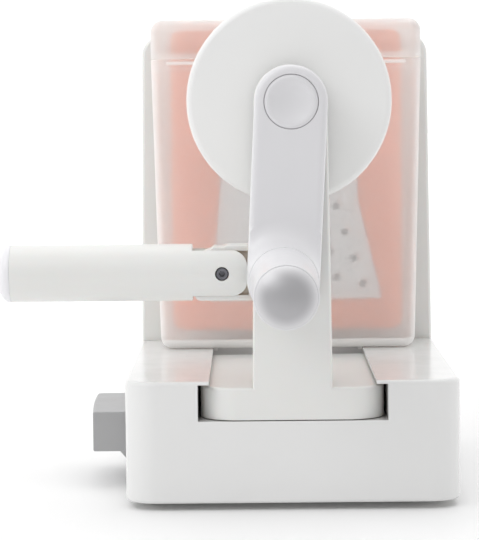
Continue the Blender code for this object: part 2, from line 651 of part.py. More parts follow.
def food_holder(parent):
    """The white disc behind the food, and the pronged hub that bites into it."""
    bore = DRIVE_RADIUS + 0.25 * MM
    back = DISC_FRONT + DISC_THICKNESS
    rim = 3 * MM
    outer = [(DISC_RADIUS - rim + rim * math.sin(math.radians(a)), DISC_FRONT + rim - rim * math.cos(math.radians(a)))
             for a in (0, 30, 60, 90)]
    profile = ([(bore, DISC_FRONT)] + outer
               + [(DISC_RADIUS, back - 1 * MM), (DISC_RADIUS - 1 * MM, back), (DISC_RADIUS - 3 * MM, back),
                  (DISC_RADIUS - 4 * MM, back - 5 * MM), (bore, back - 5 * MM)])
    to_object("holder_disc", turned(profile, "Y", (0, 0, 0), 40), white(), parent)
    seat = back - 5 * MM + GAP
    plate = [(bore, seat), (24 * MM, seat), (24 * MM, seat + 1.5 * MM), (22 * MM, seat + 3 * MM), (bore, seat + 3 * MM)]
    hub = to_object("pronged_hub", turned(plate, "Y", (0, 0, 0), 32), steel(), parent)
    prongs = bmesh.new()
    for count, radius, phase in ((6, 18 * MM, 0), (3, 9.5 * MM, 30)):
        for i in range(count):
            angle = math.radians(phase + 360 * i / count)
            centre = (radius * math.cos(angle), 0, radius * math.sin(angle))
            turned([(0, seat + 1 * MM), (2.2 * MM, seat + 1 * MM), (1.8 * MM, seat + 9 * MM), (0, PRONG_TIP)],
                   "Y", centre, 10, prongs)
    helper(hub, prongs, "UNION")
    screw("holder_screw", "Y", seat + 6 * MM, -14 * MM, (0, 0, 0), parent, head=5 * MM, shank=1.8 * MM)


def knob():
    axis = axle_empty("knob_axis", (-CRANK_RADIUS * math.sin(CRANK_TILT), 0, HUB_Z - CRANK_RADIUS * math.cos(CRANK_TILT)))
    front = COLLAR_FRONT - GAP
    end = COLLAR_FRONT - KNOB_LENGTH
    inner = DRIVE_RADIUS + GAP
    grip = [(inner, front), (COLLAR_RADIUS - 1 * MM, front), (COLLAR_RADIUS - 0.6 * MM, front - 1.5 * MM),
            (GRIP_RADIUS + 0.4 * MM, front - 14 * MM), (GRIP_RADIUS, front - 30 * MM), (GRIP_RADIUS, end),
            (8 * MM, end), (8 * MM, end + 7.3 * MM), (inner, end + 7.3 * MM)]
    to_object("knob_grip", turned(grip, "Y", (0, 0, 0)), white(), axis)
    to_object("knob_cap", turned(dome(end - GAP, -1), "Y", (0, 0, 0)), white(), axis)


def dome(start, way, radius=GRIP_RADIUS):
    """The profile of a domed end cap whose flat back is at start."""
    lip = 1 * MM
    steps = [(radius * math.cos(math.radians(a)), start + way * (lip + DOME * math.sin(math.radians(a))))
             for a in (0, 30, 55, 75)]
    return [(0, start), (radius, start)] + steps + [(0, start + way * (lip + DOME))]


# ---------------------------------------------------------------- push handle


def push_handle():
    axis = axle_empty("handle_axis", (PIVOT_X, HANDLE_Y, PIVOT_Z))
    shoulder = -SHOULDER
    end = BARREL_END - PIVOT_X
    barrel = [(0, end), (BARREL_RADIUS, end), (BARREL_RADIUS, shoulder), (0, shoulder)]
    grip = to_object("push_handle_grip", turned(barrel, "X", (0, 0, 0)), white(), axis)
    neck = to_object("push_handle_neck", rod(BARREL_RADIUS - 0.2 * MM, "X", shoulder - 3 * MM, EAR_REACH, sides=ROUND),
                     parent=axis)
    flat = rounded(shoulder - 4 * MM, EAR_REACH, -EAR_HALF_HEIGHT, EAR_HALF_HEIGHT,
                   [0.5 * MM, 8 * MM, 8 * MM, 0.5 * MM])
    helper(neck, prism(flat, "Y", -BARREL_RADIUS - 2 * MM, BARREL_RADIUS + 2 * MM), "INTERSECT")
    combine(grip, neck, "UNION")
    half = TONGUE_HALF + 0.4 * MM
    helper(grip, block((shoulder, -half, -BARREL_RADIUS - 2 * MM), (EAR_REACH + 2 * MM, half, BARREL_RADIUS + 2 * MM)))
    bores = rod(10.5 * MM, "X", end - 2 * MM, shoulder - 12 * MM, sides=28)
    stepped([-BARREL_RADIUS - 2 * MM, (3.3 * MM, -BARREL_RADIUS + 3.2 * MM), (2.3 * MM, 0)], "Y", bm=bores)
    stepped([0.1 * MM, (2.3 * MM, BARREL_RADIUS - 3.6 * MM), (4.2 * MM, BARREL_RADIUS + 2 * MM)], "Y", sides=18,
            bm=bores)
    helper(grip, bores)
    cap = turned(dome(end - GAP, -1, BARREL_RADIUS), "X", (0, 0, 0))
    to_object("push_handle_cap", cap, white(), axis)
    bolt = [(0, -BARREL_RADIUS + 1 * MM), (3 * MM, -BARREL_RADIUS + 1 * MM), (3 * MM, -BARREL_RADIUS + 2.9 * MM),
            (2 * MM, -BARREL_RADIUS + 2.9 * MM), (2 * MM, BARREL_RADIUS - 0.6 * MM), (0, BARREL_RADIUS - 0.6 * MM)]
    pivot = to_object("pivot_bolt", turned(bolt, "Y", (0, 0, 0), SMALL_ROUND), steel(), axis)
    helper(pivot, rod(1.5 * MM, "Y", -BARREL_RADIUS, -BARREL_RADIUS + 2.4 * MM, sides=6))
    nut = turned([(2.7 * MM, BARREL_RADIUS - 3.3 * MM), (3.6 * MM, BARREL_RADIUS - 3.3 * MM),
                  (3.6 * MM, BARREL_RADIUS - 0.9 * MM), (2.7 * MM, BARREL_RADIUS - 0.9 * MM)], "Y", (0, 0, 0), 6)
    to_object("pivot_nut", nut, steel(), axis)


# ---------------------------------------------------------------- upright, inserts and storage box


def upright_outline(shrink=0.0, low=BASE_TOP + GAP):
    half = UPRIGHT_FOOT_HALF - shrink
    top_half = UPRIGHT_TOP_HALF - shrink
    radius = UPRIGHT_CORNER - shrink
    high = UPRIGHT_TOP - shrink
    return ([(-half, low), (half, low)] + arc((top_half - radius, high - radius), radius, 0, 90, 8)
            + arc((-top_half + radius, high - radius), radius, 90, 180, 8))


def upright_screw_places():
    return [(x, z) for x in (-UPRIGHT_SCREW_X, UPRIGHT_SCREW_X) for z in (68 * MM, 213 * MM)]


def upright():
    joint = UPRIGHT_REAR - WALL
    frame = to_object("upright_frame", prism(upright_outline(), "Y", UPRIGHT_FRONT, joint - GAP), white())
    slot = block((-INSERT_SLOT_HALF, INSERT_SLOT_FRONT, BASE_TOP + 3 * MM),
                 (INSERT_SLOT_HALF, INSERT_SLOT_REAR, UPRIGHT_TOP + 5 * MM))
    helper(frame, slot)
    window = rounded(-WINDOW_HALF, WINDOW_HALF, WINDOW_BOTTOM, WINDOW_TOP, [12 * MM] * 4)
    helper(frame, prism(window, "Y", UPRIGHT_FRONT - 2 * MM, UPRIGHT_REAR + 2 * MM))
    pockets = bmesh.new()
    for side in (-1, 1):
        left, right = sorted((side * (INSERT_SLOT_HALF + 3 * MM), side * (UPRIGHT_TOP_HALF - 3 * MM)))
        block((left, UPRIGHT_FRONT + 3 * MM, 74 * MM), (right, joint + 2 * MM, 206 * MM), pockets)
    helper(frame, pockets)
    holes = bmesh.new()
    for x, z in upright_screw_places():
        rod(1.5 * MM, "Y", joint - 14 * MM, joint + 2 * MM, (x, 0, z), 10, holes)
    helper(frame, holes)
    cover = to_object("upright_rear_cover", prism(upright_outline(), "Y", joint, UPRIGHT_REAR), white())
    helper(cover, prism(window, "Y", joint - 2 * MM, UPRIGHT_REAR + 2 * MM))
    holes = bmesh.new()
    for x, z in upright_screw_places():
        rod(1.5 * MM, "Y", joint - 2 * MM, UPRIGHT_REAR + 2 * MM, (x, 0, z), 10, holes)
    helper(cover, holes)
    for number, (x, z) in enumerate(upright_screw_places(), 1):
        screw(f"upright_screw_{number}", "Y", UPRIGHT_REAR + 2 * MM + GAP, -13 * MM, (x, 0, z))


def plate_points(grow=0.0):
    return inset([(x * MM, z * MM) for x, z in PLATE_OUTLINE], -grow)


def tooth_places(kind):
    """Where the plate is pierced: coarse rows fan out downwards, and fine ones stand in a staggered grid."""
    apex = 144 * MM
    places = []
    if kind == "coarse":
        for column in range(-1, 4):
            for row in range(6):
                z = apex - (44 + 14.5 * row + 7.2 * (column % 2)) * MM
                places.append((0.118 * column * (apex - z), z))
    if kind == "fine":
        for column in range(-2, 3):
            for row in range(7):
                places.append(((column * 11 + 5.5 * (row % 2)) * MM, (28 + 17 * row) * MM))
    return [(x, z) for x, z in places if 24 * MM < z < apex]


def insert(name, kind, front, bottom, parent=None):
    """A plastic frame with a pierced steel plate let into its front face."""
    orange = material("insert_orange", (0.8, 0.32, 0.16), 0.4)
    place = axle_empty(f"{name}_place", (0, front, bottom), parent)
    half = INSERT_WIDTH / 2
    outline = rounded(-half, half, 0, INSERT_HEIGHT, [6 * MM] * 4, 5)
    frame = to_object(f"{name}_frame", prism(outline, "Y", 0, INSERT_DEPTH), orange, place)
    helper(frame, prism(inset(outline, 4 * MM), "Y", INSERT_WEB, INSERT_DEPTH + 2 * MM))
    helper(frame, prism(plate_points(1.5 * MM), "Y", INSERT_WEB - 1 * MM, INSERT_DEPTH - 2 * MM), "UNION")
    helper(frame, prism(plate_points(-2.5 * MM), "Y", -2 * MM, INSERT_DEPTH + 2 * MM))
    helper(frame, prism(plate_points(GAP), "Y", -2 * MM, PLATE_THICKNESS + 0.6 * MM))
    start = 0.3 * MM
    plate = to_object(f"{name}_plate", prism(plate_points(), "Y", start, start + PLATE_THICKNESS), steel(), place)
    cutter = bmesh.new()
    if kind == "slicer":
        block((-30 * MM, -2 * MM, 118 * MM), (31 * MM, 3 * MM, 121.5 * MM), cutter)
    for x, z in tooth_places(kind):
        rod(2 * MM, "Y", -2 * MM, 3 * MM, (x, 0, z), 6, cutter)
    helper(plate, cutter)


def box_ring(z, shrink=0.0, half=None):
    """A ring round the box at height z; its sides lean outwards going up."""
    share = min(1.0, max(0.0, (z - BOX_BOTTOM) / (BOX_RIM - BOX_BOTTOM)))
    half = (half or BOX_HALF_BOTTOM + (BOX_HALF_TOP - BOX_HALF_BOTTOM) * share) - shrink
    draft = 0.6 * MM * (1 - share)
    radius = max(1 * MM, BOX_CORNER - shrink)
    outline = rounded(-half, half, BOX_FRONT + draft + shrink, BOX_REAR - draft - shrink, [radius] * 4, 5)
    return lift(outline, "Z", z)


def storage_box():
    frosted = material("frosted_plastic", (0.9, 0.88, 0.86), 0.4)
    fillet = 6 * MM
    rings = []
    for angle in (0, 30, 60, 90):
        turn = math.radians(angle)
        rings.append(box_ring(BOX_BOTTOM + fillet * (1 - math.sin(turn)), fillet * (1 - math.cos(turn))))
    rings = rings[::-1]
    neck = BOX_WALL + GAP
    inner = neck + 1.4 * MM
    rings += [box_ring(BOX_RIM), box_ring(BOX_RIM, neck), box_ring(BOX_NECK, neck), box_ring(BOX_NECK, inner)]
    rings += [box_ring(BOX_RIM - 4 * MM, inner), box_ring(BOX_RIM - 6 * MM, BOX_WALL)]
    rings += [box_ring(BOX_BOTTOM + 6 * MM, BOX_WALL), box_ring(BOX_BOTTOM + BOX_WALL + 0.6 * MM, BOX_WALL + 4 * MM)]
    box = to_object("storage_box", loft(rings), frosted)
    extras = block((-62.7 * MM, BOX_FRONT - 0.8 * MM, 211.6 * MM), (62.7 * MM, BOX_FRONT + 1 * MM, 213.4 * MM))
    for x in (-38 * MM, 34 * MM):
        block((x, BOX_FRONT + 10 * MM, BOX_BOTTOM + 1 * MM), (x + 4 * MM, BOX_REAR - 8 * MM, INSERT_REST - GAP),
              extras)
    for x in (-RIB_OUTER, RIB_OUTER - 2 * MM):
        block((x, BOX_FRONT + 10 * MM, BOX_BOTTOM - 1.8 * MM), (x + 2 * MM, BOX_REAR - 8 * MM, BOX_BOTTOM + 1 * MM),
              extras)
    return helper(box, extras, "UNION")


def box_lid():
    frosted = material("frosted_plastic", (0.9, 0.88, 0.86), 0.4)
    fillet = 6.5 * MM
    wall = BOX_WALL - 0.2 * MM
    half = BOX_HALF_TOP
    rings = [box_ring(LID_BOTTOM, 0, half)]
    for angle in (0, 30, 60, 90):
        turn = math.radians(angle)
        rings.append(box_ring(LID_TOP - fillet * (1 - math.sin(turn)), fillet * (1 - math.cos(turn)), half))
    inner = [box_ring(LID_TOP - wall - 4 * MM * (1 - math.sin(math.radians(a))),
                      wall + 4 * MM * (1 - math.cos(math.radians(a))), half) for a in (90, 45, 0)]
    outside = rings[::-1]
    to_object("box_lid", loft(outside + [box_ring(LID_BOTTOM, wall, half)] + inner[::-1]), frosted)


def main():
    clear_scene()
    base_housing()
    bottom_plate()
    base_fasteners_and_feet()
    suction_pad()
    pad_stem(None)
    suction_lever()
    carriage_body(None)
    handle_bracket(None)
    tower_rear_cover(None)
    shaft_bushes(None)
    crank()
    knob()
    push_handle()
    upright()
    insert("fitted_insert", "fine", INSERT_SLOT_FRONT + 0.8 * MM, BASE_TOP + 3.4 * MM)
    insert("stored_insert", "coarse", BOX_FRONT + 8 * MM, INSERT_REST)
    insert("spare_insert", "slicer", BOX_FRONT + 20 * MM, INSERT_REST)
    storage_box()
    box_lid()


main()
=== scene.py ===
"""Looks of a tabletop crank grater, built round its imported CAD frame: moulded white plastic,
a frosted storage box with orange framed steel inserts in it, and a grey suction lever.
"""

import json
import math
from collections import namedtuple

import bmesh
import bpy
from mathutils import Matrix, Vector


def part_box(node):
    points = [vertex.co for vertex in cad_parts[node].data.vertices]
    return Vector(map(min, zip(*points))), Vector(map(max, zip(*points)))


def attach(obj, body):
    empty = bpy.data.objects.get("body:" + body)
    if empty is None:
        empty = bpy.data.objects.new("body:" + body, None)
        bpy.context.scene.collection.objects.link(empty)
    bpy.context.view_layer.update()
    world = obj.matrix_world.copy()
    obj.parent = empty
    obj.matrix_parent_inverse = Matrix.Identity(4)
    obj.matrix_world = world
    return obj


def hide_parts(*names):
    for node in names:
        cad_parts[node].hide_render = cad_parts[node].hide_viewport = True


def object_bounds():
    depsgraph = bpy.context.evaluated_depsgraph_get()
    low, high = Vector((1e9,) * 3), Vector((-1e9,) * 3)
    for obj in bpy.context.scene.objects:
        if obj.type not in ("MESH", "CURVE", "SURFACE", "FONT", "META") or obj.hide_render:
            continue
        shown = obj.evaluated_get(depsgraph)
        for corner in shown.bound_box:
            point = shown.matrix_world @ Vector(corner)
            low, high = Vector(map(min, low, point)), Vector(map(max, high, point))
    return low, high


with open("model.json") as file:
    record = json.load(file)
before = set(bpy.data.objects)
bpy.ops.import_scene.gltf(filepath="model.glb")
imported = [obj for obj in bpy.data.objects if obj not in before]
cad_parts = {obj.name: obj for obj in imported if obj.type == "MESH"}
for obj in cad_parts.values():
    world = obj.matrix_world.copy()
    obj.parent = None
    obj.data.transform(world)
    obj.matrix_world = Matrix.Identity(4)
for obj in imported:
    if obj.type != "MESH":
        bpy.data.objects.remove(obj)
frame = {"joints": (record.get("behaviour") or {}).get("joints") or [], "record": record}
cad_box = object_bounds()

MM = 0.001  # sizes are in millimetres here, and in metres in every mesh, matrix and node
GAP = 0.3
ROUND = 96  # sides of a large round piece
SMALL_ROUND = 40  # sides of screws, pins and bores
SHARP = 38  # degrees from which an edge counts as sharp

# Base, as in the CAD model
WALL = 2.5
BASE_CORNER = 15
CHANNEL_HALF = 45
CHANNEL_FLOOR = 42.6
CHANNEL_ROOF = 59.9
CHANNEL_END = 111
SLOT_HALF = 39.7
SHAFT_RADIUS = 3
BASE_SCREWS = [f"base_screw_{number}" for number in range(1, 5)]

# Carriage
TOWER_HALF_FOOT = 18.9
TOWER_HALF_HEAD = 17.2
TOWER_WALL = 3
TOWER_DEPTH = 31.5
FOOT_CORNER = 18
FOOT_TOP = 58.4
TONGUE_REACH = 13.1
TONGUE_HALF = 7.6
TONGUE_ROOT = -13.9
FLANGE_FACE = -14.7
FLANGE_MARGIN = 1.5
TOWER_SCREWS = ["tower_screw_1", "tower_screw_2"]

# Crank
ARM_HALF = 17
ARM_FILLET = 3
ARM_THICKNESS = 16
COLLAR_HEIGHT = 11.5
COLLAR_RADIUS = 16.4
CAP_RADIUS = 12.6
DRIVE_RADIUS = 4
GRIP_RADIUS = 14.2
SEAM = 0.24  # how far a grip and its cap are let towards each other
CAP_REACH = 13.4

# Push handle
BARREL_RADIUS = 13.5
SHOULDER = 14.1
EAR_REACH = 12
EAR_HALF_HEIGHT = 11

# Upright and inserts
UPRIGHT_CORNER = 11
UPRIGHT_TOP_HALF = 77.3
WINDOW = (52, 78, 217)  # half width, bottom, top
INSERT_WEB = 3
UPRIGHT_SCREWS = [f"upright_screw_{number}" for number in range(1, 5)]
PLATE_OUTLINE = [(-40, 15.5), (50, 16.5), (37.5, 68.5), (35, 150), (-34, 150), (-35.2, 74)]

# Storage box
BOX_WALL = 1.8
BOX_CORNER = 7
BOX_HALF_BOTTOM = 67.2
BOX_HALF_TOP = 70.9
BOX_BOTTOM = 61.8
BOX_RIM = 214.4


# ---- the frame


Point = namedtuple("Point", "x y z")


def millimetres(point):
    return Point(*(value / MM for value in Vector(point)))


def metres(*point):
    return Vector([value * MM for value in point])


def place(joint):
    """Where a joint is at rest."""
    return millimetres(next(j for j in frame["joints"] if j["name"] == joint)["pos_m"])


def corners_of(node):
    return [millimetres(corner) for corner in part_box(node)]


def centre_of(node):
    low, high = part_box(node)
    return millimetres((Vector(low) + Vector(high)) / 2)


def moved(x, y, z):
    return Matrix.Translation(metres(x, y, z))


def body_of(node):
    bodies = frame["record"]["behaviour"]["bodies"]
    return next(body for body, members in bodies.items() if node in members)


# ---- mesh tools


def lift(outline, axis, along):
    """Puts 2-D points in space: (u, v) is (y, z) across X, (x, z) across Y and (x, y) across Z."""
    if axis == "X":
        return [metres(along, u, v) for u, v in outline]
    if axis == "Y":
        return [metres(u, along, v) for u, v in outline]
    return [metres(u, v, along) for u, v in outline]


def arc(centre, radius, start, end, steps):
    """Points on an arc, angles in degrees."""
    angles = [math.radians(start + (end - start) * i / steps) for i in range(steps + 1)]
    return [(centre[0] + radius * math.cos(a), centre[1] + radius * math.sin(a)) for a in angles]


def rounded(left, right, low, high, radii, steps=10):
    """A rectangle with a radius at each corner: bottom left, bottom right, top right, top left."""
    a, b, c, d = radii
    corners = ((left + a, low + a, a), (right - b, low + b, b), (right - c, high - c, c), (left + d, high - d, d))
    made = []
    for (x, y, radius), start in zip(corners, (180, 270, 0, 90)):
        made += arc((x, y), radius, start, start + 90, steps)
    return made


def soft(points, steps=5, closed=True):
    """An outline or profile with its corners rounded: points are (u, v, radius)."""
    made = []
    count = len(points)
    for i, (u, v, radius) in enumerate(points):
        here = metres(u, v)
        if radius == 0 or (not closed and i in (0, count - 1)):
            made.append((u, v))
            continue
        before = metres(*points[i - 1][:2]) - here
        after = metres(*points[(i + 1) % count][:2]) - here
        half_angle = before.angle(after) / 2
        reach = min(radius * MM / math.tan(half_angle), 0.48 * before.length, 0.48 * after.length)
        first = here + before.normalized() * reach
        last = here + after.normalized() * reach
        weight = math.sin(half_angle)
        for step in range(steps + 1):
            t = step / steps
            shares = ((1 - t) ** 2, 2 * weight * t * (1 - t), t * t)
            point = (first * shares[0] + here * shares[1] + last * shares[2]) / sum(shares)
            made.append((point.x / MM, point.y / MM))
    return made


def inset(outline, distance):
    """A counter-clockwise outline with every side moved inwards."""
    shifted = []
    count = len(outline)
    for i in range(count):
        before, here, after = (metres(*outline[(i + k) % count]) for k in (-1, 0, 1))
        normals = [Vector((-side.y, side.x)).normalized() for side in (here - before, after - here)]
        middle = (normals[0] + normals[1]).normalized()
        corner = here + middle * (distance * MM / max(0.3, middle.dot(normals[0])))
        shifted.append((corner.x / MM, corner.y / MM))
    return shifted


def loft(rings, bm=None):
    """A closed solid through rings of points; its first and last rings are capped."""
    bm = bm or bmesh.new()
    rows = [[bm.verts.new(point) for point in ring] for ring in rings]
    for low, high in zip(rows, rows[1:]):
        for i in range(len(low)):
            j = (i + 1) % len(low)
            bm.faces.new((low[i], low[j], high[j], high[i]))
    bm.faces.new(reversed(rows[0]))
    bm.faces.new(rows[-1])
    return bm


def prism(outline, axis, start, end, bm=None):
    return loft([lift(outline, axis, start), lift(outline, axis, end)], bm)


def slab(outline, axis, start, end, rim, far_rim=None, steps=4):
    """A prism with rounded rims; the second radius is for the rim at end."""
    far_rim = rim if far_rim is None else far_rim
    rings = []
    for along, radius, way in ((start, rim, 1), (end, far_rim, -1)):
        part = []
        for step in range(steps + 1):
            angle = math.pi / 2 * step / steps
            shrunk = inset(outline, radius * (1 - math.sin(angle)))
            part.append(lift(shrunk, axis, along + way * radius * (1 - math.cos(angle))))
        rings += part[::way]
    return loft(rings)


def block(low, high, bm=None):
    corners = [(low[0], low[1]), (high[0], low[1]), (high[0], high[1]), (low[0], high[1])]
    return prism(corners, "Z", low[2], high[2], bm)


def turned(profile, axis, centre=(0, 0, 0), sides=ROUND, bm=None):
    """A round solid: profile is (radius, distance along the axis), and radius 0 closes an end."""
    bm = bm or bmesh.new()
    rows = []
    for radius, along in profile:
        count = sides if radius > 0 else 1
        angles = [2 * math.pi * i / sides for i in range(count)]
        circle = [(radius * math.cos(angle), radius * math.sin(angle)) for angle in angles]
        rows.append([bm.verts.new(point + metres(*centre)) for point in lift(circle, axis, along)])
    closed = len(rows[0]) > 1 and len(rows[-1]) > 1
    pairs = list(zip(rows, rows[1:])) + ([(rows[-1], rows[0])] if closed else [])
    for low, high in pairs:
        for i in range(sides):
            j = (i + 1) % sides
            quad = [low[i % len(low)], low[j % len(low)], high[j % len(high)], high[i % len(high)]]
            unique = list(dict.fromkeys(quad))
            if len(unique) > 2:
                bm.faces.new(unique)
    return bm


def rod(radius, axis, start, end, centre=(0, 0, 0), sides=SMALL_ROUND, bm=None):
    return turned([(0, start), (radius, start), (radius, end), (0, end)], axis, centre, sides, bm)


def stepped(steps, axis, centre=(0, 0, 0), sides=SMALL_ROUND, bm=None):
    """A round solid of changing radius, for bores: its start, then (radius, end) for each stretch."""
    start = steps[0]
    profile = [(0, start)]
    for radius, end in steps[1:]:
        profile += [(radius, start), (radius, end)]
        start = end
    return turned(profile + [(0, start)], axis, centre, sides, bm)


def rods(nodes, radius, axis, start, end, sides, bm=None):
    """A rod along the axis through each node's centre."""
    bm = bm or bmesh.new()
    for node in nodes:
        centre = list(centre_of(node))
        centre["XYZ".index(axis)] = 0
        rod(radius, axis, start, end, centre, sides, bm)
    return bm


def linked(name, data):
    """A new object in the scene."""
    made = bpy.data.objects.new(name, data)
    bpy.context.scene.collection.objects.link(made)
    return made


def to_object(name, bm):
    bmesh.ops.remove_doubles(bm, verts=bm.verts, dist=1e-7)
    bmesh.ops.recalc_face_normals(bm, faces=bm.faces)
    mesh = bpy.data.meshes.new(name)
    bm.to_mesh(mesh)
    bm.free()
    return linked(name, mesh)


def settle(piece):
    """Applies the piece's modifiers."""
    graph = bpy.context.evaluated_depsgraph_get()
    settled = bpy.data.meshes.new_from_object(piece.evaluated_get(graph))
    piece.modifiers.clear()
    piece.data = settled
    return piece


def combine(piece, tool, operation):
    """Cuts another object from the piece, or joins or intersects the two, and uses the other up."""
    modifier = piece.modifiers.new("combine", "BOOLEAN")
    modifier.operation = operation
    modifier.solver = "EXACT"
    modifier.object = tool
    settle(piece)
    bpy.data.objects.remove(tool)
    return piece


def carve(piece, bm, operation="DIFFERENCE"):
    return combine(piece, to_object("tool", bm), operation)


def soften(piece, width):
    """Rounds the piece's sharp edges."""
    modifier = piece.modifiers.new("soften", "BEVEL")
    modifier.width = width * MM
    modifier.segments = 3
    modifier.limit_method = "ANGLE"
    modifier.angle_limit = math.radians(SHARP)
    return settle(piece)


def melt(piece, voxel, rounds):
    """Fuses the piece into one even skin and rounds its inner and outer corners."""
    skin = piece.modifiers.new("skin", "REMESH")
    skin.mode = "VOXEL"
    skin.voxel_size = voxel * MM
    smooth = piece.modifiers.new("smooth", "SMOOTH")
    smooth.factor = 0.5
    smooth.iterations = rounds
    return settle(piece)


def present(piece, kind, node, angle=SHARP):
    """Gives a piece its material and its smooth shading, and puts it in the CAD node's place."""
    piece.data.shade_smooth()
    piece.data.set_sharp_from_angle(angle=math.radians(angle))
    piece.data.materials.clear()
    piece.data.materials.append(material(kind))
    normals = piece.modifiers.new("normals", "WEIGHTED_NORMAL")
    normals.keep_sharp = True
    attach(piece, body_of(node))
    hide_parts(node)
    return piece


# ---- materials


class Finish:
    """A Principled material whose colour, roughness and surface are built up from noise."""

    def __init__(self, name, colour, roughness, metallic=0.0):
        self.material = bpy.data.materials.new(name)
        self.material.use_nodes = True
        self.tree = self.material.node_tree
        self.shader = self.tree.nodes["Principled BSDF"]
        self.shader.inputs["Metallic"].default_value = metallic
        self.where = self.add("TexCoord").outputs["Object"]
        self.colour = colour
        self.roughness = roughness
        self.surface = None

    def add(self, kind, **values):
        made = self.tree.nodes.new("ShaderNode" + kind)
        for key, value in values.items():
            made.inputs[key.replace("_", " ")].default_value = value
        return made

    def ramp(self, source, before, after, low, high):
        """Maps a value from one range to another and stops at its ends."""
        made = self.add("MapRange", From_Min=before, From_Max=after, To_Min=low, To_Max=high)
        self.join(source, made.inputs["Value"])
        return made

    def join(self, value, socket):
        """Links a node's output to a socket, or sets the socket to a number or a colour."""
        if isinstance(value, bpy.types.NodeSocket):
            self.tree.links.new(value, socket)
        else:
            socket.default_value = (*value, 1) if isinstance(value, tuple) else value

    def noise(self, scale, detail=3.0, stretch=(1, 1, 1)):
        """Noise with about scale features a metre, drawn out along an axis by stretch."""
        mapping = self.add("Mapping", Scale=stretch)
        self.join(self.where, mapping.inputs["Vector"])
        made = self.add("TexNoise", Scale=scale, Detail=detail, Roughness=0.55)
        self.join(mapping.outputs["Vector"], made.inputs["Vector"])
        return made.outputs["Fac"]

    def spread(self, source, low, high):
        """Maps the middle of a noise to the range low to high."""
        made = self.ramp(source, 0.15, 0.85, low, high)
        made.clamp = False
        return made.outputs["Result"]

    def mix(self, share, first, second):
        made = self.add("Mix")
        made.data_type = "RGBA"
        for value, number in ((share, 0), (first, 6), (second, 7)):
            self.join(value, made.inputs[number])
        return made.outputs[2]

    def mottle(self, scale, amount):
        """Slow colour variation over the surface."""
        darker = tuple(c * (1 - amount) for c in self.colour)
        lighter = tuple(min(1, c * (1 + amount)) for c in self.colour)
        self.colour = self.mix(self.spread(self.noise(scale), 0, 1), darker, lighter)
        return self

    def painted_crevice_shade(self, tint, reach, amount):
        """Painted shade: a tint in narrow gaps and inner corners, wherever ambient occlusion finds them hemmed in."""
        shade = self.add("AmbientOcclusion", Distance=reach * MM)
        shade.samples = 6
        share = self.ramp(shade.outputs["AO"], 0.15, 0.75, amount, 0)
        self.colour = self.mix(share.outputs["Result"], self.colour, tint)
        return self

    def uneven(self, scale, amount, stretch=(1, 1, 1)):
        """Roughness that varies, as handling and moulding leave it."""
        low, high = self.roughness - amount, self.roughness + amount
        self.roughness = self.spread(self.noise(scale, 4, stretch), low, high)
        return self

    def grain(self, scale, height, stretch=(1, 1, 1), strength=0.6):
        """A fine bump of the given height."""
        bump = self.add("Bump", Strength=strength, Distance=height * MM)
        self.join(self.noise(scale, 2, stretch), bump.inputs["Height"])
        if self.surface is not None:
            self.join(self.surface, bump.inputs["Normal"])
        self.surface = bump.outputs["Normal"]
        return self

    def done(self, values):
        """Connects the colour, roughness and bump, and sets the shader's other values."""
        if self.surface is not None:
            self.join(self.surface, self.shader.inputs["Normal"])
        for key, value in {"Base Color": self.colour, "Roughness": self.roughness, **values}.items():
            self.join(value, self.shader.inputs[key])
        return self.material
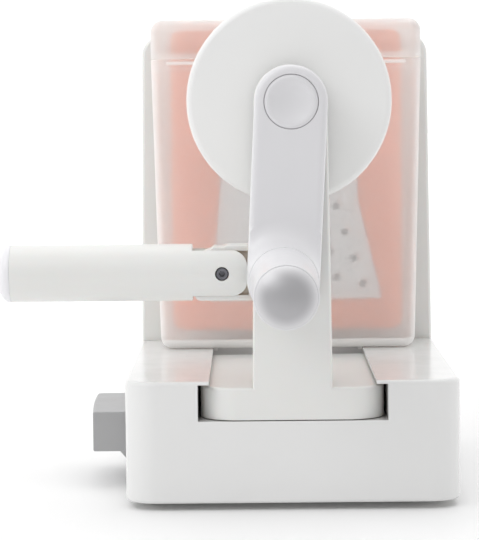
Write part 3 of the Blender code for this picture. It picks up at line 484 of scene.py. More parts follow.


# A finish's colour, roughness and metallic value, then what Finish's mottle, painted_crevice_shade (a painted shade
# in gaps and inner corners), uneven and grain take, and the shader's other values
WARM_SHADE = (0.38, 0.31, 0.25)
BRUSHED = (1, 1, 0.03)
FINISHES = {
    "white_plastic": (
        (0.81, 0.81, 0.79), 0.34, 0, (28, 0.012), (WARM_SHADE, 4, 0.35), (60, 0.04),
        [(1500, 0.02), (260, 0.03, (1, 1, 1), 0.35)],
        {"IOR": 1.49, "Subsurface Weight": 0.06, "Subsurface Scale": 1.5 * MM, "Coat Weight": 0.15,
         "Coat Roughness": 0.15}),
    "polished_plastic": (  # the same plastic where its mould was polished: the top of the base
        (0.80, 0.80, 0.795), 0.22, 0, (28, 0.012), (WARM_SHADE, 4, 0.3), (60, 0.04), [(900, 0.01)],
        {"IOR": 1.49, "Coat Weight": 0.3, "Coat Roughness": 0.08}),
    "disc_plastic": (  # the whiter plastic of the food holder's disc
        (0.9, 0.9, 0.895), 0.36, 0, (28, 0.01), (WARM_SHADE, 4, 0.3), (60, 0.05), [(1500, 0.015)],
        {"IOR": 1.49, "Coat Weight": 0.1, "Coat Roughness": 0.2}),
    "pearl_plastic": (  # the cool, slightly grey finish of the crank's arm, its cap and the knob
        (0.765, 0.76, 0.78), 0.35, 0, (40, 0.01), ((0.45, 0.42, 0.42), 3, 0.25), (80, 0.04), [(1200, 0.005)],
        {"IOR": 1.5, "Coat Weight": 0.25, "Coat Roughness": 0.12}),
    "lever_plastic": (
        (0.4, 0.4, 0.405), 0.42, 0, (50, 0.03), ((0.12, 0.11, 0.11), 4, 0.4), (90, 0.07), [(1800, 0.03)],
        {"IOR": 1.48}),
    "dark_plastic": ((0.07, 0.07, 0.075), 0.5, 0, (60, 0.1), None, (90, 0.08), [(1500, 0.03)], {}),
    "bush_plastic": ((0.62, 0.6, 0.54), 0.38, 0, (80, 0.04), None, (150, 0.05), [(1600, 0.02)], {}),
    "rubber": ((0.035, 0.035, 0.037), 0.62, 0, (90, 0.25), None, (140, 0.1), [(2200, 0.05)], {"Sheen Weight": 0.15}),
    "orange_plastic": (
        (0.93, 0.25, 0.09), 0.35, 0, (35, 0.05), ((0.5, 0.09, 0.03), 4, 0.3), (80, 0.06), [(1500, 0.02)],
        {"IOR": 1.49, "Subsurface Weight": 0.05, "Subsurface Scale": 1.5 * MM}),
    "brushed_steel": (
        (0.83, 0.84, 0.86), 0.3, 0.9, (30, 0.05), None, (900, 0.08, BRUSHED), [(2600, 0.01, BRUSHED)], {}),
    "turned_steel": ((0.55, 0.55, 0.56), 0.24, 1, (200, 0.06), None, (700, 0.08), [(3000, 0.008)], {}),
    # painted shade: the dark steel turns near-black in its small hollows, such as the bolt's socket
    "dark_steel": (
        (0.2, 0.2, 0.22), 0.3, 0.9, (300, 0.2), ((0.01, 0.01, 0.012), 1, 0.8), (700, 0.08), [(3000, 0.005)], {}),
}
white, pearl = FINISHES["white_plastic"], FINISHES["pearl_plastic"]
# painted shade: a strong warm tint deep in the bracket's pocket, standing in for its shadowed inside
FINISHES["bracket_plastic"] = (*white[:4], ((0.75, 0.6, 0.47), 9, 1.0), *white[5:])
FINISHES["pearl_cap"] = ((0.85, 0.845, 0.87), *pearl[1:])


def satin_metal_painted_rim():
    """The satin finish of the knob's domed end, with a painted reflection: its colour is darker in the middle and
    lighter round its rim, as if the rim mirrored the bright room around it.
    """
    made = Finish("satin_metal_painted_rim", (0.46, 0.455, 0.47), 0.5, 0.55)
    axis = metres(*place("knob_spin"))
    away = made.add("VectorMath")
    away.operation = "MULTIPLY_ADD"
    away.inputs[1].default_value = (1, 0, 1)
    away.inputs[2].default_value = (-axis.x, 0, -axis.z)
    made.join(made.where, away.inputs[0])
    reach = made.add("VectorMath")
    reach.operation = "LENGTH"
    made.join(away.outputs["Vector"], reach.inputs[0])
    # painted reflection: the colour grows lighter from the middle of the dome out to its rim
    rim = made.ramp(reach.outputs["Value"], CAP_REACH * 0.58 * MM, CAP_REACH * 1.3 * MM, 0, 1)
    rim.interpolation_type = "SMOOTHSTEP"
    made.mottle(60, 0.02)
    made.colour = made.mix(rim.outputs["Result"], made.colour, (0.86, 0.855, 0.87))
    return made.uneven(120, 0.04).grain(1200, 0.004).done({"Coat Weight": 0.15, "Coat Roughness": 0.2})


def frosted_plastic(name, milk, clear=0.99):
    """Translucent polypropylene. Light passes blurred or scattered, and the wall is milky, by the share milk when it
    is seen head-on and more when it is seen edge-on. Lamps shine through, so that what is inside is lit.
    """
    tint = (clear, clear - 0.005, clear - 0.01)
    made = Finish(name, tint, 0.52).mottle(20, 0.01).uneven(50, 0.05).grain(1400, 0.02)
    made.done({"IOR": 1.25, "Transmission Weight": 1.0})
    scattered = made.add("BsdfTranslucent", Color=(*tint, 1))
    milky = made.add("BsdfDiffuse", Color=(clear - 0.01, clear - 0.025, clear - 0.04, 1))
    lamplit = made.add("BsdfTransparent", Color=(0.99, 0.99, 0.99, 1))
    facing = made.add("LayerWeight", Blend=0.35).outputs["Facing"]
    shader = made.shader
    for share, second in (
        (0.1, scattered),
        (made.ramp(facing, 0.1, 0.9, milk, 0.88).outputs["Result"], milky),
        (made.add("LightPath").outputs["Is Shadow Ray"], lamplit),
    ):
        mixer = made.add("MixShader")
        made.join(share, mixer.inputs["Fac"])
        made.join(shader.outputs[0], mixer.inputs[1])
        made.join(second.outputs["BSDF"], mixer.inputs[2])
        shader = mixer
    made.join(shader.outputs[0], made.tree.nodes["Material Output"].inputs["Surface"])
    return made.material


OWN_FINISHES = {
    "satin_metal_painted_rim": satin_metal_painted_rim,
    "frosted_plastic": lambda: frosted_plastic("frosted_plastic", 0.25),
    # painted light: a milkier, whiter copy of the box's plastic for faces that are whitened to look lit
    "painted_light_plastic": lambda: frosted_plastic("painted_light_plastic", 0.8),
    # painted shade: the lid is the box's plastic with a greyer tint, holding back the light from above that falls on
    # it
    "lid_plastic_painted_shade": lambda: frosted_plastic("lid_plastic_painted_shade", 0.25, 0.93),
}
made_materials = {}


def material(kind):
    """The material of a kind, made when it is first asked for."""
    if kind in made_materials:
        return made_materials[kind]
    if kind in OWN_FINISHES:
        made_materials[kind] = OWN_FINISHES[kind]()
        return made_materials[kind]
    colour, roughness, metallic, mottle, painted_crevice_shade, uneven, grains, values = FINISHES[kind]
    made = Finish(kind, colour, roughness, metallic).mottle(*mottle)
    # painted shade in gaps and inner corners, where the finish has it
    if painted_crevice_shade:
        made.painted_crevice_shade(*painted_crevice_shade)
    made.uneven(*uneven)
    for grain in grains:
        made.grain(*grain)
    made_materials[kind] = made.done(values)
    return made_materials[kind]


def floor_finish():
    """A white table that glows towards the back, so that it runs into the white there, and is greyer in front."""
    made = Finish("floor_finish", (0.9, 0.9, 0.9), 0.6).mottle(6, 0.006).uneven(30, 0.05)
    split = made.add("SeparateXYZ")
    made.join(made.where, split.inputs["Vector"])
    front = made.ramp(split.outputs["Y"], -1.0, -0.25, 0.7, 0)
    made.colour = made.mix(front.outputs["Result"], made.colour, (0.3, 0.3, 0.3))
    glow = made.ramp(split.outputs["Y"], 0.2, 3.0, 0.03, 0.45)
    made.join(glow.outputs["Result"], made.shader.inputs["Emission Strength"])
    return made.done({"Emission Color": (1, 1, 1)})


# ---- small parts


def lathe(name, profile, axis, kind, node, centre=(0, 0, 0), sides=ROUND):
    return present(to_object(name, turned(profile, axis, centre, sides)), kind, node)


def screw_shape(length, head, shank):
    """A pan-head screw with a cross recess and a thread, its head's face at 0 and its shank towards +Z."""
    neck, pitch = 2, 0.9
    profile = soft([(0, 0, 0), (head * 0.55, 0, head * 0.4), (head, 0.5, 0.5), (head, neck, 0.1), (shank, neck, 0)],
                   4, closed=False)
    for turn in range(int((length - neck - 1.5) / pitch)):
        start = neck + 0.3 + turn * pitch
        profile += [(shank * 0.8, start), (shank, start + 0.45 * pitch), (shank * 0.8, start + 0.9 * pitch)]
    profile += [(shank * 0.7, length - 1), (0, length)]
    made = to_object("screw", turned(profile, "Z", sides=SMALL_ROUND))
    arm, wing = head * 0.62, head * 0.16
    for x, y in ((arm, wing), (wing, arm)):
        carve(made, block((-x, -y, -1), (x, y, 1.1)))
    return made


def put_screws(nodes, axis, backwards, length, head, shank):
    """Puts a copy of one screw in each node's place; backwards turns the head to the axis' far end."""
    pattern = screw_shape(length, head, shank)
    index = "XYZ".index(axis)
    direction = Vector((0, 0, 0))
    direction[index] = -1 if backwards else 1
    turn = direction.to_track_quat("Z", "Y").to_matrix().to_4x4()
    for node in nodes:
        low, high = corners_of(node)
        head_at = list(centre_of(node))
        head_at[index] = high[index] if backwards else low[index]
        copy = linked(f"{node}_detail", pattern.data.copy())
        copy.data.transform(moved(*head_at) @ turn)
        present(copy, "turned_steel", node)
    bpy.data.objects.remove(pattern)


# ---- base


def base_outline(shrink=0.0):
    low, high = corners_of("base_housing")
    return rounded(low.x + shrink, high.x - shrink, low.y + shrink, high.y - shrink, [BASE_CORNER - shrink] * 4, 14)


def base_shell():
    low, high = corners_of("base_housing")
    shell = to_object("base_shell", slab(base_outline(), "Z", low.z, high.z, 1.6, 2.2, 6))
    carve(shell, prism(base_outline(WALL), "Z", low.z - 2, high.z - WALL))
    carve(shell, block((-CHANNEL_HALF - WALL, low.y + 1, CHANNEL_FLOOR - WALL),
                       (CHANNEL_HALF + WALL, CHANNEL_END + WALL, high.z - 1)), "UNION")
    carve(shell, rods(BASE_SCREWS, 4, "Z", low.z + 4, high.z - 1, 32), "UNION")
    carve(shell, block((-CHANNEL_HALF, low.y - 2, CHANNEL_FLOOR), (CHANNEL_HALF, CHANNEL_END, CHANNEL_ROOF)))
    carve(shell, block((-SLOT_HALF, low.y - 2, CHANNEL_ROOF - 1), (SLOT_HALF, CHANNEL_END, high.z + 2)))
    holes = rod(SHAFT_RADIUS + GAP, "X", low.x - 2, low.x + 5, place("lever_turn"))
    screw_end = corners_of(BASE_SCREWS[0])[1].z
    carve(shell, rods(BASE_SCREWS, 1.5, "Z", low.z, screw_end + 2, 24, holes))
    present(soften(shell, 0.45), "polished_plastic", "base_housing")


def base_underside():
    low, high = corners_of("bottom_plate")
    shaft = place("lever_turn")
    top = low.z + WALL
    plate = to_object("base_underside", slab(base_outline(WALL + GAP), "Z", low.z, top, 0.6))
    cradles = bmesh.new()
    for x in (-24, 24):
        block((x - 2, -9, top - 1), (x + 2, 9, high.z), cradles)
    carve(plate, cradles, "UNION")
    carve(plate, rod(13.5, "Z", low.z - 1, top + 1, sides=ROUND))
    carve(plate, rods(BASE_SCREWS, 1.6, "Z", low.z - 2, top + 2, 24))
    clear = SHAFT_RADIUS + GAP
    carve(plate, block((-30, -clear, shaft.z - clear), (30, clear, shaft.z + 3)))
    present(soften(plate, 0.3), "white_plastic", "bottom_plate")
    for number in range(1, 5):
        node = f"rubber_foot_{number}"
        start, end = corners_of(node)
        radius = (end.x - start.x) / 2
        profile = soft([(0, 0.4, 0), (radius * 0.45, 0.4, 0.3), (radius * 0.55, 0, 0.3), (radius, 0, 0.8),
                        (radius, end.z, 0), (0, end.z, 0)], 4, closed=False)
        middle = centre_of(node)
        lathe(f"foot_{number}", profile, "Z", "rubber", node, (middle.x, middle.y, 0), 64)


def suction_disc():
    """The pad: a sealing lip round a ribbed face."""
    high = corners_of("suction_pad")[1]
    radius = high.x
    face = [(0, 0.5)]
    for ring in range(5):
        middle = radius * (0.2 + 0.14 * ring)
        face += [(middle - 1.6, 0.5), (middle - 0.8, 0.05), (middle + 0.8, 0.05), (middle + 1.6, 0.5)]
    lip = [(radius - 7, 0.5), (radius - 5, 0), (radius - 0.6, 0), (radius, 0.5), (radius - 5, 2), (14, 3),
           (10, 3.6), (9, 4.6), (9, high.z - 0.5), (8.5, high.z), (0, high.z)]
    lathe("suction_disc", face + lip, "Z", "rubber", "suction_pad")


def lever_outline():
    """The lever bar seen from above: a flat front end, a bulging outer side and a rounded far corner."""
    low, high = corners_of("lever_handle")
    bulge, corner = 2.2, 3
    outer = []
    for step in range(25):
        share = step / 24
        out = bulge * math.sin(math.radians(108) * (1 - share))
        outer.append((low.x + bulge - out, high.y - corner + (low.y - high.y + corner) * share))
    far_corner = arc((outer[0][0] + corner, outer[0][1]), corner, 90, 180, 8)[:-1]
    return [(high.x, low.y), (high.x, high.y)] + far_corner + outer


def lever():
    axis = place("lever_turn")
    low, high = corners_of("lever_handle")
    half = high.z - axis.z
    piece = to_object("lever_bar", slab(lever_outline(), "Z", axis.z - half, axis.z + half, 0.9))
    hub = []
    for radius, along in ((21, high.x), (21, high.x - 4.5), (16.5, high.x - 8.5)):
        outline = arc((0, axis.z), radius, 180, 360, 40)
        outline += [(radius * 0.45, axis.z + 8), (-radius * 0.45, axis.z + 8)]
        hub.append(lift(outline, "X", along))
    carve(piece, loft(hub), "UNION")
    bores = [low.x - 3, (4.2, low.x + 5.2), (1.6, low.x + 7.7), (SHAFT_RADIUS + GAP, high.x + 2)]
    carve(piece, stepped(bores, "X", (0, axis.y, axis.z)))
    present(soften(piece, 0.5), "lever_plastic", "lever_handle")
    put_screws(["lever_screw"], "X", False, 12, 3.6, 1.2)
    low, high = corners_of("lever_shaft")
    shaft = to_object("lever_spindle", rod(SHAFT_RADIUS, "X", low.x, high.x, axis))
    carve(shaft, rod(5.2, "X", -4.5, 4.5, (0, -2.5, axis.z), 64), "UNION")
    carve(shaft, rod(1.5, "X", low.x - 6, low.x + 8, axis))
    present(soften(shaft, 0.3), "turned_steel", "lever_shaft")
    low, high = corners_of("lever_clip")
    clip = soft([(3.3, low.x, 0), (6, low.x, 0.3), (6, high.x, 0.3), (3.3, high.x, 0)], 3)
    lathe("lever_snap_ring", clip, "X", "turned_steel", "lever_clip", axis)


def stem():
    low, high = corners_of("pad_stem")
    axis = place("lever_turn")
    post = soft([(0, low.z, 0), (12, low.z, 0.5), (12, low.z + 2.2, 0.5), (6, low.z + 3.2, 1), (6, 21, 0), (0, 21, 0)],
                4, closed=False)
    piece = to_object("stem_body", turned(post, "Z"))
    carve(piece, block((-5, -11.6, 19.4), (5, 11.6, high.z)), "UNION")
    carve(piece, block((-8, -9.1, axis.z - 5.7), (8, 9.1, axis.z + 6.2)))
    present(soften(piece, 0.4), "dark_plastic", "pad_stem")


# ---- carriage


def tower_outline(shrink, low):
    """The tower seen from the crank side: a post that narrows upwards to a round head."""
    hub = place("crank_spin").z
    grow = (TOWER_HALF_FOOT - TOWER_HALF_HEAD) / (hub - FOOT_TOP)
    foot = TOWER_HALF_HEAD + grow * (hub - low) - shrink
    return [(-foot, low), (foot, low)] + arc((0, hub), TOWER_HALF_HEAD - shrink, 0, 180, 32)


def tongue_outline():
    """The push handle's bracket, whose upper left corner is cut back so that the handle can fold up."""
    pivot = place("handle_fold")
    reach = TONGUE_REACH
    left = [(pivot.x - x, pivot.z + z, 0.7)
            for x, z in ((-2.1, 13.1), (-0.4, 12.2), (1.6, 12.3), (3.9, 12.6), (5.6, 11.2), (9, 9.8))]
    tip = [(x, z, 1) for x, z in arc((pivot.x, pivot.z), reach, 145, 180, 5)]
    heel = [(pivot.x - reach, pivot.z - reach, 3)]
    root = [(TONGUE_ROOT, pivot.z - reach, 0), (TONGUE_ROOT, pivot.z + reach, 0)]
    return soft(root + left + tip + heel, 4)


def carriage():
    low, high = corners_of("carriage_body")
    front, rear = low.y, low.y + TOWER_DEPTH
    hub, pivot = place("crank_spin"), place("handle_fold")
    outline = rounded(-high.x, high.x, front, high.y, [FOOT_CORNER, FOOT_CORNER, 5, 5], 16)
    piece = to_object("carriage_shell", slab(outline, "Z", low.z, FOOT_TOP, 0.2, 1.4, 5))
    carve(piece, slab(tower_outline(0, low.z + 6), "Y", front, rear, 1.3, 0.5, 5), "UNION")
    carve(piece, foot_pockets(low, high))
    carve(piece, prism(tower_outline(TOWER_WALL, FOOT_TOP + 2), "Y", front + TOWER_WALL, rear + 2))
    bosses = rod(9.5, "Y", front + 1, rear, (0, 0, hub.z), 64)
    carve(piece, rods(TOWER_SCREWS, 3.6, "Y", front + 1, rear, 32, bosses), "UNION")
    half, reach = TONGUE_HALF + GAP, TONGUE_REACH + GAP
    carve(piece, block((-TOWER_HALF_FOOT - 3, pivot.y - half, pivot.z - reach),
                       (TONGUE_ROOT, pivot.y + half, pivot.z + reach)))
    bores = rod(6.3, "Y", front - 2, rear + 2, (0, 0, hub.z), 64)
    carve(piece, rods(TOWER_SCREWS, 1.5, "Y", rear - 14, rear + 2, 24, bores))
    present(soften(piece, 0.35), "white_plastic", "carriage_body")


def bracket():
    """The tongue that the push handle folds on, passed out through the tower's side wall from within."""
    pivot = place("handle_fold")
    front, rear = pivot.y - TONGUE_HALF, pivot.y + TONGUE_HALF
    piece = to_object("bracket", slab(tongue_outline(), "Y", front, rear, 0.6))
    reach = TONGUE_REACH + FLANGE_MARGIN
    carve(piece, block((FLANGE_FACE, front - FLANGE_MARGIN, pivot.z - reach),
                       (corners_of("handle_bracket")[1].x, rear + FLANGE_MARGIN, pivot.z + reach)), "UNION")
    reach = TONGUE_REACH - 2.8
    wall = -TOWER_HALF_FOOT - 1.5
    hollow = [(wall, pivot.z + reach), (pivot.x - 2, pivot.z + reach), (pivot.x - 8, pivot.z + 5),
              (pivot.x - 9.5, pivot.z - reach + 1), (pivot.x - 8, pivot.z - reach), (wall, pivot.z - reach)]
    carve(piece, prism(hollow, "Y", front - 1, front + 2))
    carve(piece, rod(5.2, "Y", front, rear - 2, (pivot.x, 0, pivot.z), 48), "UNION")
    carve(piece, rod(2.3, "Y", front - 2, rear + 2, (pivot.x, 0, pivot.z)))
    present(soften(piece, 0.4), "bracket_plastic", "handle_bracket")


def foot_pockets(low, high):
    """The foot is moulded hollow from below, with ribs between its pockets."""
    bm = bmesh.new()
    inner = high.x - 3
    for start, end in ((low.y + FOOT_CORNER, -44), (-41, -12), (-9, high.y - 3)):
        for left, right in ((-inner, -1.5), (1.5, inner)):
            block((left, start, low.z - 2), (right, end, FOOT_TOP - 3), bm)
    return bm


def tower_back():
    low, high = corners_of("tower_rear_cover")
    cover = to_object("tower_back", slab(tower_outline(0, low.z), "Y", low.y, high.y, 0.2, 0.7))
    holes = rod(6.3, "Y", low.y - 1, high.y + 1, (0, 0, place("crank_spin").z), 64)
    carve(cover, rods(TOWER_SCREWS, 1.5, "Y", low.y - 1, high.y + 1, 24, holes))
    present(cover, "white_plastic", "tower_rear_cover")


def bush(node, outwards):
    """A flanged bush, whose flange is at the end that faces outwards; its lip's depth is given with its way."""
    low, high = corners_of(node)
    face, end = (low.y, high.y) if outwards < 0 else (high.y, low.y)
    back = face + (1.4 if outwards < 0 else -0.9)
    inner, outer, flange = 4.25, 6, 8.5
    profile = soft([(inner, face, 0.3), (flange, face, 0.35), (flange, back, 0.3), (outer, back, 0.2),
                    (outer, end, 0.5), (inner, end, 0.3)], 3)
    lathe(f"{node}_sleeve", profile, "Y", "bush_plastic", node, (0, 0, place("crank_spin").z), 72)


# ---- crank and food holder


def crank_tilt():
    """The matrix from the hub's own axes, with the arm straight down, to the crank at rest."""
    hub, knob = place("crank_spin"), place("knob_spin")
    angle = math.atan2(hub.x - knob.x, hub.z - knob.z)
    return moved(hub.x, 0, hub.z) @ Matrix.Rotation(angle, 4, "Y")


def crank_radius():
    hub, knob = place("crank_spin"), place("knob_spin")
    return math.hypot(hub.x - knob.x, hub.z - knob.z)


def on_crank(name, profile, kind, node, sides=ROUND):
    """A turned piece on the crank's own axis."""
    piece = to_object(name, turned(profile, "Y", sides=sides))
    piece.data.transform(crank_tilt())
    present(piece, kind, node)


def on_knob(name, profile, kind, node):
    """A turned piece on the knob's axis."""
    axis = place("knob_spin")
    lathe(name, profile, "Y", kind, node, (axis.x, 0, axis.z))


def arm_outline(half):
    return arc((0, 0), half, 0, 180, 48) + arc((0, -crank_radius()), half, 180, 360, 48)


def crank_arm():
    """The arm, whose lower end sweeps forward into the knob's collar."""
    low, high = corners_of("crank_arm")
    radius = crank_radius()
    back = high.y
    front = back - ARM_THICKNESS
    arm = to_object("crank_arm_shell", slab(arm_outline(ARM_HALF), "Y", front, back, ARM_FILLET, 0.8, 8))
    sweep = [(0, back - 2), (COLLAR_RADIUS + COLLAR_HEIGHT, back - 2)]
    for step in range(25):
        angle = math.pi / 2 * step / 24
        sweep.append((COLLAR_RADIUS + COLLAR_HEIGHT * (1 - math.sin(angle)),
                      front - COLLAR_HEIGHT * (1 - math.cos(angle))))
    collar = to_object("collar", turned(sweep + [(0, low.y)], "Y", (0, 0, -radius)))
    carve(collar, prism(arm_outline(ARM_HALF - 0.4), "Y", low.y - 2, back), "INTERSECT")
    melt(combine(arm, collar, "UNION"), 0.5, 6)
    half = ARM_HALF - 3
    pocket = [(-half, 12 - radius), (half, 12 - radius), (half, -15), (-half, -15)]
    carve(arm, slab(pocket, "Y", front + 4, back + 2, 1.5, 0))
    bores = stepped([front - 2, (CAP_RADIUS + 0.12, front + 4), (5, front + 6.5), (2.1, front + 7.5),
                     (DRIVE_RADIUS + 0.25, back + 2)], "Y", sides=ROUND)
    carve(arm, rod(DRIVE_RADIUS + 0.25, "Y", low.y - 2, low.y + 20, (0, 0, -radius), bm=bores))
    arm.data.transform(crank_tilt())
    present(arm, "pearl_plastic", "crank_arm", angle=50)


def crank_fittings():
    """The dished cap on the hub, its screw, the shaft and the knob's axle."""
    face = corners_of("hub_cap")[0].y
    back = corners_of("crank_arm")[1].y - ARM_THICKNESS + 3.7
    hollow = [(10.3 * step / 12, face + 2.3 * (1 - (step / 12) ** 2)) for step in range(13)]
    dish = hollow + soft([(10.3, face, 0), (11.2, face, 0.6), (CAP_RADIUS, face + 0.5, 0.8), (CAP_RADIUS, back, 0),
                          (0, back, 0)], 6, closed=False)[1:]
    on_crank("hub_cap_dish", dish, "pearl_plastic", "hub_cap")
    put_screws(["hub_screw"], "Y", False, 12, 4.2, 1.8)
    low, high = corners_of("crank_shaft")
    shaft = soft([(0, low.y + 10, 0), (2.1, low.y + 10, 0), (2.1, low.y, 0), (DRIVE_RADIUS, low.y, 0.4),
                  (DRIVE_RADIUS, high.y, 0.4), (2.1, high.y, 0), (2.1, high.y - 12, 0), (0, high.y - 12, 0)],
                 3, closed=False)
    on_crank("drive_spindle", shaft, "turned_steel", "crank_shaft")
    low, high = corners_of("knob_axle")
    pin = soft([(0, high.y, 0), (DRIVE_RADIUS, high.y, 0.5), (DRIVE_RADIUS, low.y + 2, 0.2), (7, low.y + 2, 0.4),
                (7, low.y, 0.4), (0, low.y, 0)], 4, closed=False)
    on_knob("knob_pin", pin, "turned_steel", "knob_axle")


def food_holder():
    low, high = corners_of("holder_disc")
    radius = (high.z - low.z) / 2
    front, back = low.y, high.y
    bore = 4.25
    floor = back - 5
    profile = soft([(bore, front, 0.3), (radius, front, 3), (radius, back, 0.9), (radius - 3, back, 0.9),
                    (radius - 4, floor, 1.2), (radius - 9, floor, 0.3), (radius - 9.4, floor + 0.5, 0.3),
                    (radius - 11, floor + 0.5, 0.3), (radius - 11.4, floor, 0.3), (bore, floor, 0.3)], 6)
    on_crank("food_disc", profile, "disc_plastic", "holder_disc", 160)
    low, high = corners_of("pronged_hub")
    seat = low.y
    plate = soft([(bore, seat, 0.2), (24, seat, 0.3), (24, seat + 1.5, 0.8), (22, seat + 3, 0.8),
                  (bore, seat + 3, 0.2)], 4)
    spike = soft([(0, seat + 1, 0), (2.2, seat + 1, 0), (2.2, seat + 3.6, 0.6), (1.8, seat + 9, 2),
                  (0.25, high.y - 0.2, 0.2), (0, high.y, 0)], 4, closed=False)
    hub = to_object("prongs", turned(plate, "Y"))
    for count, ring, phase in ((6, 18, 0), (3, 9.5, 30)):
        for i in range(count):
            angle = math.radians(phase + 360 * i / count)
            carve(hub, turned(spike, "Y", (ring * math.cos(angle), 0, ring * math.sin(angle)), 32), "UNION")
    hub.data.transform(crank_tilt())
    present(hub, "turned_steel", "pronged_hub")
    put_screws(["holder_screw"], "Y", True, 14, 5, 1.8)


def dome_profile(start, end, radius, oval):
    """A cap with a short straight lip and an oval or a ball-shaped end; start is its flat back."""
    way = 1 if end > start else -1
    lip = 0.8
    height = abs(end - start) - lip
    ball = (radius * radius + height * height) / (2 * height)
    steep = math.asin(radius / ball)
    made = [(0, start, 0), (radius - 0.05, start, 0), (radius, start + way * 0.1, 0), (radius, start + way * lip, 0.5)]
    for step in range(1, 28):
        if oval:
            angle = math.pi / 2 * step / 28
            reach, rise = radius * math.cos(angle), height * math.sin(angle)
        else:
            angle = steep * (1 - step / 28)
            reach, rise = ball * math.sin(angle), height - ball * (1 - math.cos(angle))
        made.append((reach, start + way * (lip + rise), 0))
    return soft(made + [(0, end, 0)], 5, closed=False)


def knob():
    low, high = corners_of("knob_grip")
    inner, well = DRIVE_RADIUS + GAP, low.y + 7.3
    grip = soft([(inner, high.y, 0), (COLLAR_RADIUS - 0.5, high.y + 0.22, 0.15), (COLLAR_RADIUS - 0.9, high.y - 2, 1),
                 (GRIP_RADIUS + 0.4, high.y - 14, 8), (GRIP_RADIUS, high.y - 30, 12), (GRIP_RADIUS, low.y, 0.7),
                 (8, low.y, 0), (8, well, 0), (inner, well, 0)], 8)
    on_knob("knob_sleeve", grip, "pearl_plastic", "knob_grip")
    low, high = corners_of("knob_cap")
    on_knob("knob_end", dome_profile(high.y + SEAM, low.y, CAP_REACH, False), "satin_metal_painted_rim", "knob_cap")


# ---- push handle


def push_handle():
    pivot = place("handle_fold")
    end = corners_of("push_handle_grip")[0].x - pivot.x - SEAM
    shoulder, radius = -SHOULDER, BARREL_RADIUS
    past = radius + 2
    barrel = soft([(0, end, 0), (radius, end, 0.1), (radius, shoulder, 0.4), (0, shoulder, 0)], 5, closed=False)
    grip = to_object("handle_barrel", turned(barrel, "X"))
    neck = to_object("neck", rod(radius - 0.03, "X", shoulder - 3, EAR_REACH, sides=ROUND))
    flat = rounded(shoulder - 4, EAR_REACH, -EAR_HALF_HEIGHT, EAR_HALF_HEIGHT, [0.5, 8, 8, 0.5], 14)
    carve(neck, prism(flat, "Y", -past, past), "INTERSECT")
    combine(grip, neck, "UNION")
    half = TONGUE_HALF + 0.4
    carve(grip, block((shoulder, -half, -past), (EAR_REACH + 2, half, past)))
    bores = rod(10.5, "X", end - 2, shoulder - 12, sides=64)
    stepped([-past, (3.3, -radius + 3.2), (2.3, 0)], "Y", bm=bores)
    stepped([0.1, (2.3, radius - 3.6), (4.2, past)], "Y", bm=bores)
    carve(grip, bores)
    soften(grip, 0.5)
    grip.data.transform(moved(*pivot))
    present(grip, "white_plastic", "push_handle_grip")
    low, high = corners_of("push_handle_cap")
    lathe("handle_end", dome_profile(high.x, low.x, radius, True), "X", "pearl_cap", "push_handle_cap",
          (0, pivot.y, pivot.z))


def hinge_bolt():
    """The socket-head bolt that the handle folds on, and its nut."""
    pivot = place("handle_fold")
    axis = (pivot.x, 0, pivot.z)
    low, high = corners_of("pivot_bolt")
    bolt = soft([(0, low.y, 0), (3, low.y, 0.5), (3, low.y + 1.9, 0.1), (2, low.y + 1.9, 0), (2, high.y, 0.3),
                 (0, high.y, 0)], 4, closed=False)
    piece = to_object("hinge_bolt", turned(bolt, "Y", axis, 48))
    carve(piece, rod(1.55, "Y", low.y - 1, low.y + 4, axis, 6))
    present(soften(piece, 0.12), "dark_steel", "pivot_bolt")
    low, high = corners_of("pivot_nut")
    nut = to_object("hinge_nut", rod(3.6, "Y", low.y, high.y, axis, 6))
    carve(nut, rod(2.4, "Y", low.y - 1, high.y + 1, axis))
    present(soften(nut, 0.25), "dark_steel", "pivot_nut")


# ---- upright and inserts


def upright_outline():
    """The upright from the front; its rounded foot is let into the base's top."""
    low, high = corners_of("upright_frame")
    foot = low.z - 1.9
    centre, top, radius = UPRIGHT_TOP_HALF - UPRIGHT_CORNER, high.z - UPRIGHT_CORNER, UPRIGHT_CORNER
    return ([(-high.x, foot), (high.x, foot)] + arc((centre, top), radius, 0, 90, 20)
            + arc((-centre, top), radius, 90, 180, 20))


def upright():
    low, high = corners_of("upright_frame")
    insert_low, insert_high = corners_of("fitted_insert_frame")
    half, bottom, top = WINDOW
    window = rounded(-half, half, bottom, top, [12] * 4, 14)
    piece = to_object("upright_shell", slab(upright_outline(), "Y", low.y, high.y, 2, 0.3, 6))
    slot_half = insert_high.x + 0.9
    carve(piece, block((-slot_half, insert_low.y - 0.8, insert_low.z - 0.4),
                       (slot_half, insert_high.y + 0.8, high.z + 5)))
    carve(piece, prism(window, "Y", low.y - 2, high.y + 5))
    pockets = bmesh.new()
    for side in (-1, 1):
        left, right = sorted((side * (slot_half + 3), side * (UPRIGHT_TOP_HALF - 3)))
        block((left, low.y + 3, 74), (right, high.y + 2, 206), pockets)
    carve(piece, pockets)
    cover_low, cover_high = corners_of("upright_rear_cover")
    holes = rods(UPRIGHT_SCREWS, 1.5, "Y", high.y - 14, cover_high.y + 2, 24)
    cover_holes = holes.copy()
    carve(piece, holes)
    present(soften(piece, 0.6), "white_plastic", "upright_frame")
    cover = to_object("upright_back", slab(upright_outline(), "Y", cover_low.y, cover_high.y, 0.2, 0.9))
    carve(cover, prism(window, "Y", cover_low.y - 2, cover_high.y + 2))
    carve(cover, cover_holes)
    present(soften(cover, 0.45), "white_plastic", "upright_rear_cover")
    put_screws(UPRIGHT_SCREWS, "Y", True, 13, 2.8, 1.2)


def plate_points(grow=0.0, radius=0.0):
    points = inset(PLATE_OUTLINE, -grow)
    return soft([(x, z, radius) for x, z in points], 6) if radius else points


